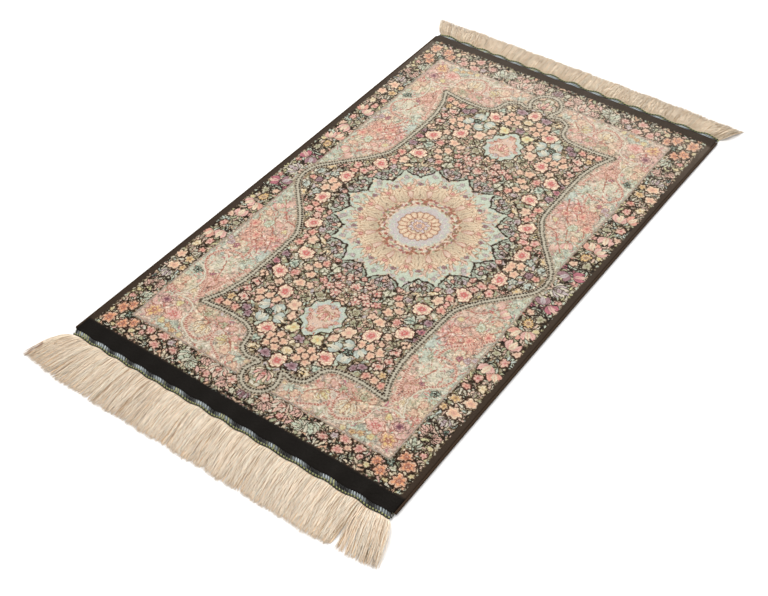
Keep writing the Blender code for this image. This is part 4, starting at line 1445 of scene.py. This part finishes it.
def build_binding(name, side, material):
    """The silk wound round the outermost warps: a ridged roll along one long side."""
    reach = HALF_LENGTH - 0.6 * CORNER_RADIUS
    y = np.linspace(-reach, reach, 500)
    inward = arc_drop(np.abs(y) - (HALF_LENGTH - CORNER_RADIUS))
    x = side * (half_width(y) - BINDING_RADIUS - BINDING_OVERLAP - inward)
    paths = np.stack([x, y, lift(x, y) + BINDING_RADIUS + 0.0003], axis=-1)[None]
    radii = BINDING_RADIUS * (1 - 0.04 * (np.arange(len(y)) % 2))[None]
    radii[0, 0] = radii[0, -1] = 0.0004
    piece = add_threads(f"{name}_wound", paths, radii, 8, material, name)
    return piece


# ---- finishes
# stretch of the lustre's strokes, their fineness and depth, roughness, shine, sheen weight,
# sheen roughness, bump height
FINISHES = {
    "knotted_silk": ((1.0, 0.45, 1.0), 900.0, 0.10, 0.55, 0.03, 0.004, 0.35, 0.0004),
    "back_silk": ((1.0, 1.0, 1.0), 700.0, 0.10, 0.70, 0.20, 0.10, 0.40, 0.0003),
    "binding_silk": ((1.0, 3.0, 1.0), 500.0, 0.15, 0.55, 0.03, 0.004, 0.35, 0.0003),
    "stitching_silk": ((1.0, 0.5, 1.0), 1500.0, 0.12, 0.40, 0.30, 0.20, 0.35, 0.0002),
    "cord_silk": ((1.0, 1.0, 1.0), 1500.0, 0.12, 0.45, 0.30, 0.20, 0.35, 0.0002),
    "fringe_silk": ((1.0, 0.12, 1.0), 1400.0, 0.08, 0.42, 0.35, 0.25, 0.35, 0.0002),
}


def feed(tree, node, sources):
    """Give each named input of a node a socket or a value."""
    for name, source in sources:
        if isinstance(source, bpy.types.NodeSocket):
            tree.links.new(source, node.inputs[name])
        else:
            node.inputs[name].default_value = source


def put(tree, kind, sources=(), **settings):
    """Add a node, set it up and feed it."""
    node = tree.nodes.new(kind)
    for key, value in settings.items():
        setattr(node, key, value)
    feed(tree, node, sources)
    return node


def maths(tree, operation, *values):
    """What a step of arithmetic makes of some numbers and sockets."""
    return put(tree, "ShaderNodeMath", enumerate(values), operation=operation).outputs[0]


def silk_group():
    """Silk's uneven lustre: a noise of short strokes along the threads, and a broad one."""
    tree = bpy.data.node_groups.new("silk_lustre", "ShaderNodeTree")
    for name, kind, value in (("Stretch", "NodeSocketVector", (1.0, 1.0, 1.0)),
                              ("Fineness", "NodeSocketFloat", 900.0),
                              ("Depth", "NodeSocketFloat", 0.12)):
        socket = tree.interface.new_socket(name, in_out="INPUT", socket_type=kind)
        socket.default_value = value
    for name in ("Tone", "Gloss", "Height"):
        tree.interface.new_socket(name, in_out="OUTPUT", socket_type="NodeSocketFloat")
    given = tree.nodes.new("NodeGroupInput").outputs
    place = put(tree, "ShaderNodeTexCoord").outputs["Object"]
    stretched = put(tree, "ShaderNodeVectorMath", ((0, place), (1, given["Stretch"])),
                    operation="MULTIPLY").outputs[0]
    fine = put(tree, "ShaderNodeTexNoise",
               (("Vector", stretched), ("Scale", given["Fineness"]), ("Detail", 2.0),
                ("Roughness", 0.6))).outputs["Fac"]
    broad = put(tree, "ShaderNodeTexNoise",
                (("Vector", place), ("Scale", 14.0), ("Detail", 3.0))).outputs["Fac"]
    mixed = maths(tree, "MULTIPLY_ADD", broad, 0.25, maths(tree, "MULTIPLY", fine, 0.75))
    centred = maths(tree, "SUBTRACT", mixed, 0.5)
    depth = maths(tree, "MULTIPLY", given["Depth"], 4.0)
    put(tree, "NodeGroupOutput",
        (("Tone", maths(tree, "MULTIPLY_ADD", centred, depth, 1.0)),
         ("Gloss", maths(tree, "MULTIPLY", centred, -0.5)), ("Height", fine)))
    return tree


def silk(name, group, colour=None):
    """A silk finish. Its colour is each knot's or thread's own dye with its painted sheen and
    shade, or a plain one.
    """
    stretch, fineness, depth, roughness, shine, sheen, sheen_roughness, bump = FINISHES[name]
    material = bpy.data.materials.new(name)
    material.use_nodes = True
    tree = material.node_tree
    lustre = put(tree, "ShaderNodeGroup",
                 (("Stretch", stretch), ("Fineness", fineness), ("Depth", depth)),
                 node_tree=group).outputs
    if colour is None:
        dyed = put(tree, "ShaderNodeVertexColor", layer_name="dye_and_painted_light").outputs["Color"]
    else:
        dyed = put(tree, "ShaderNodeRGB").outputs[0]
        dyed.default_value = (*[(v / 255) ** 2.2 for v in colour], 1.0)
    toned = put(tree, "ShaderNodeVectorMath", ((0, dyed), ("Scale", lustre["Tone"])),
                operation="SCALE").outputs[0]
    raised = put(tree, "ShaderNodeBump",
                 (("Height", lustre["Height"]), ("Distance", bump), ("Strength", 0.6)))
    feed(tree, tree.nodes["Principled BSDF"], (
        ("Base Color", toned), ("Roughness", maths(tree, "ADD", lustre["Gloss"], roughness)),
        ("Normal", raised.outputs[0]), ("Sheen Weight", sheen),
        ("Sheen Roughness", sheen_roughness), ("Specular IOR Level", shine)))
    return material


# ---- studio
PHOTO_WIDTH = 768
FOCAL_PIXELS = 1270.0
SENSOR_WIDTH = 36.0
CAMERA_PLACE = (0.73415, -1.07702, 1.14295)      # seen from the middle of the pile's top
CAMERA_RIGHT = (0.81047, 0.58566, -0.01178)
CAMERA_UP = (-0.40308, 0.57219, 0.71423)
CAMERA_BACK = (0.42504, -0.57411, 0.69981)

# each lamp: place, size, power, colour, whether it lights the dyes or only the silk's sheen
LAMPS = (
    ("overhead", (-0.6, 0.6, 2.4), 2.6, 40.0, (1.0, 0.98, 0.95), True),
    ("behind", (-1.5, 2.1, 1.5), 1.8, 24.0, (1.0, 0.97, 0.93), True),
    ("front", (1.6, -1.8, 2.0), 2.2, 9.0, (1.0, 0.98, 0.95), True),
    ("lustre", (-0.85, 2.1, 1.15), 0.9, 50.0, (1.0, 0.88, 0.74), False),
)
WORLD_COLOUR, WORLD_LIGHT = (1, 1, 1, 1), 0.9
FLOOR_SIZE = 12.0
FLOOR_COLOUR, FLOOR_ROUGHNESS = (0.86, 0.86, 0.86, 1.0), 0.9


def make_camera():
    """The photograph's view: its place, its axes and its lens."""
    eye = bpy.data.cameras.new("camera")
    eye.sensor_width = SENSOR_WIDTH
    eye.lens = FOCAL_PIXELS / PHOTO_WIDTH * SENSOR_WIDTH
    eye.clip_start, eye.clip_end = 0.05, 50.0
    camera = bpy.data.objects.new("camera", eye)
    turn = Matrix((CAMERA_RIGHT, CAMERA_UP, CAMERA_BACK)).transposed()
    place = Vector(CAMERA_PLACE) + Vector((MIDDLE_X, MIDDLE_Y, PILE_THICKNESS))
    camera.matrix_world = Matrix.Translation(place) @ turn.to_4x4()
    bpy.context.scene.collection.objects.link(camera)
    bpy.context.scene.camera = camera


def make_studio():
    """White light all round, four soft lamps and a pale floor."""
    scene = bpy.context.scene
    scene.view_settings.view_transform = "Standard"
    scene.world = bpy.data.worlds.new("studio")
    scene.world.use_nodes = True
    tree = scene.world.node_tree
    feed(tree, tree.nodes["Background"], (("Color", WORLD_COLOUR), ("Strength", WORLD_LIGHT)))
    for name, place, size, power, colour, lights_dyes in LAMPS:
        lamp = bpy.data.lights.new(name, "AREA")
        lamp.shape = "DISK"
        lamp.size, lamp.energy, lamp.color = size, power, colour
        holder = bpy.data.objects.new(name, lamp)
        holder.location = place
        holder.visible_diffuse = lights_dyes
        holder.rotation_mode = "QUATERNION"
        holder.rotation_quaternion = Vector(place).to_track_quat("Z", "Y")
        scene.collection.objects.link(holder)
    bpy.ops.mesh.primitive_plane_add(size=FLOOR_SIZE)
    floor = bpy.context.object
    floor.name = "floor"
    paper = bpy.data.materials.new("pale_floor")
    paper.use_nodes = True
    tree = paper.node_tree
    feed(tree, tree.nodes["Principled BSDF"],
         (("Base Color", FLOOR_COLOUR), ("Roughness", FLOOR_ROUGHNESS)))
    floor.data.materials.append(paper)


# ---- the whole rug
def build_rug():
    lustre = silk_group()
    pile = build_pile(silk("knotted_silk", lustre))
    back = build_back(silk("back_silk", lustre, DYES["sand"]))
    thread_silk = silk("fringe_silk", lustre)
    stitch_silk = silk("stitching_silk", lustre)
    cord_silk = silk("cord_silk", lustre)
    binding_silk = silk("binding_silk", lustre, DYES["guard"])
    trims = [build_binding("side_binding_left", -1, binding_silk),
             build_binding("side_binding_right", 1, binding_silk)]
    for end in ENDS:
        trims.append(build_stitching(end, stitch_silk))
        trims += build_chain(end, cord_silk)
        trims += build_fringe(end, thread_silk)


make_camera()
make_studio()
build_rug()
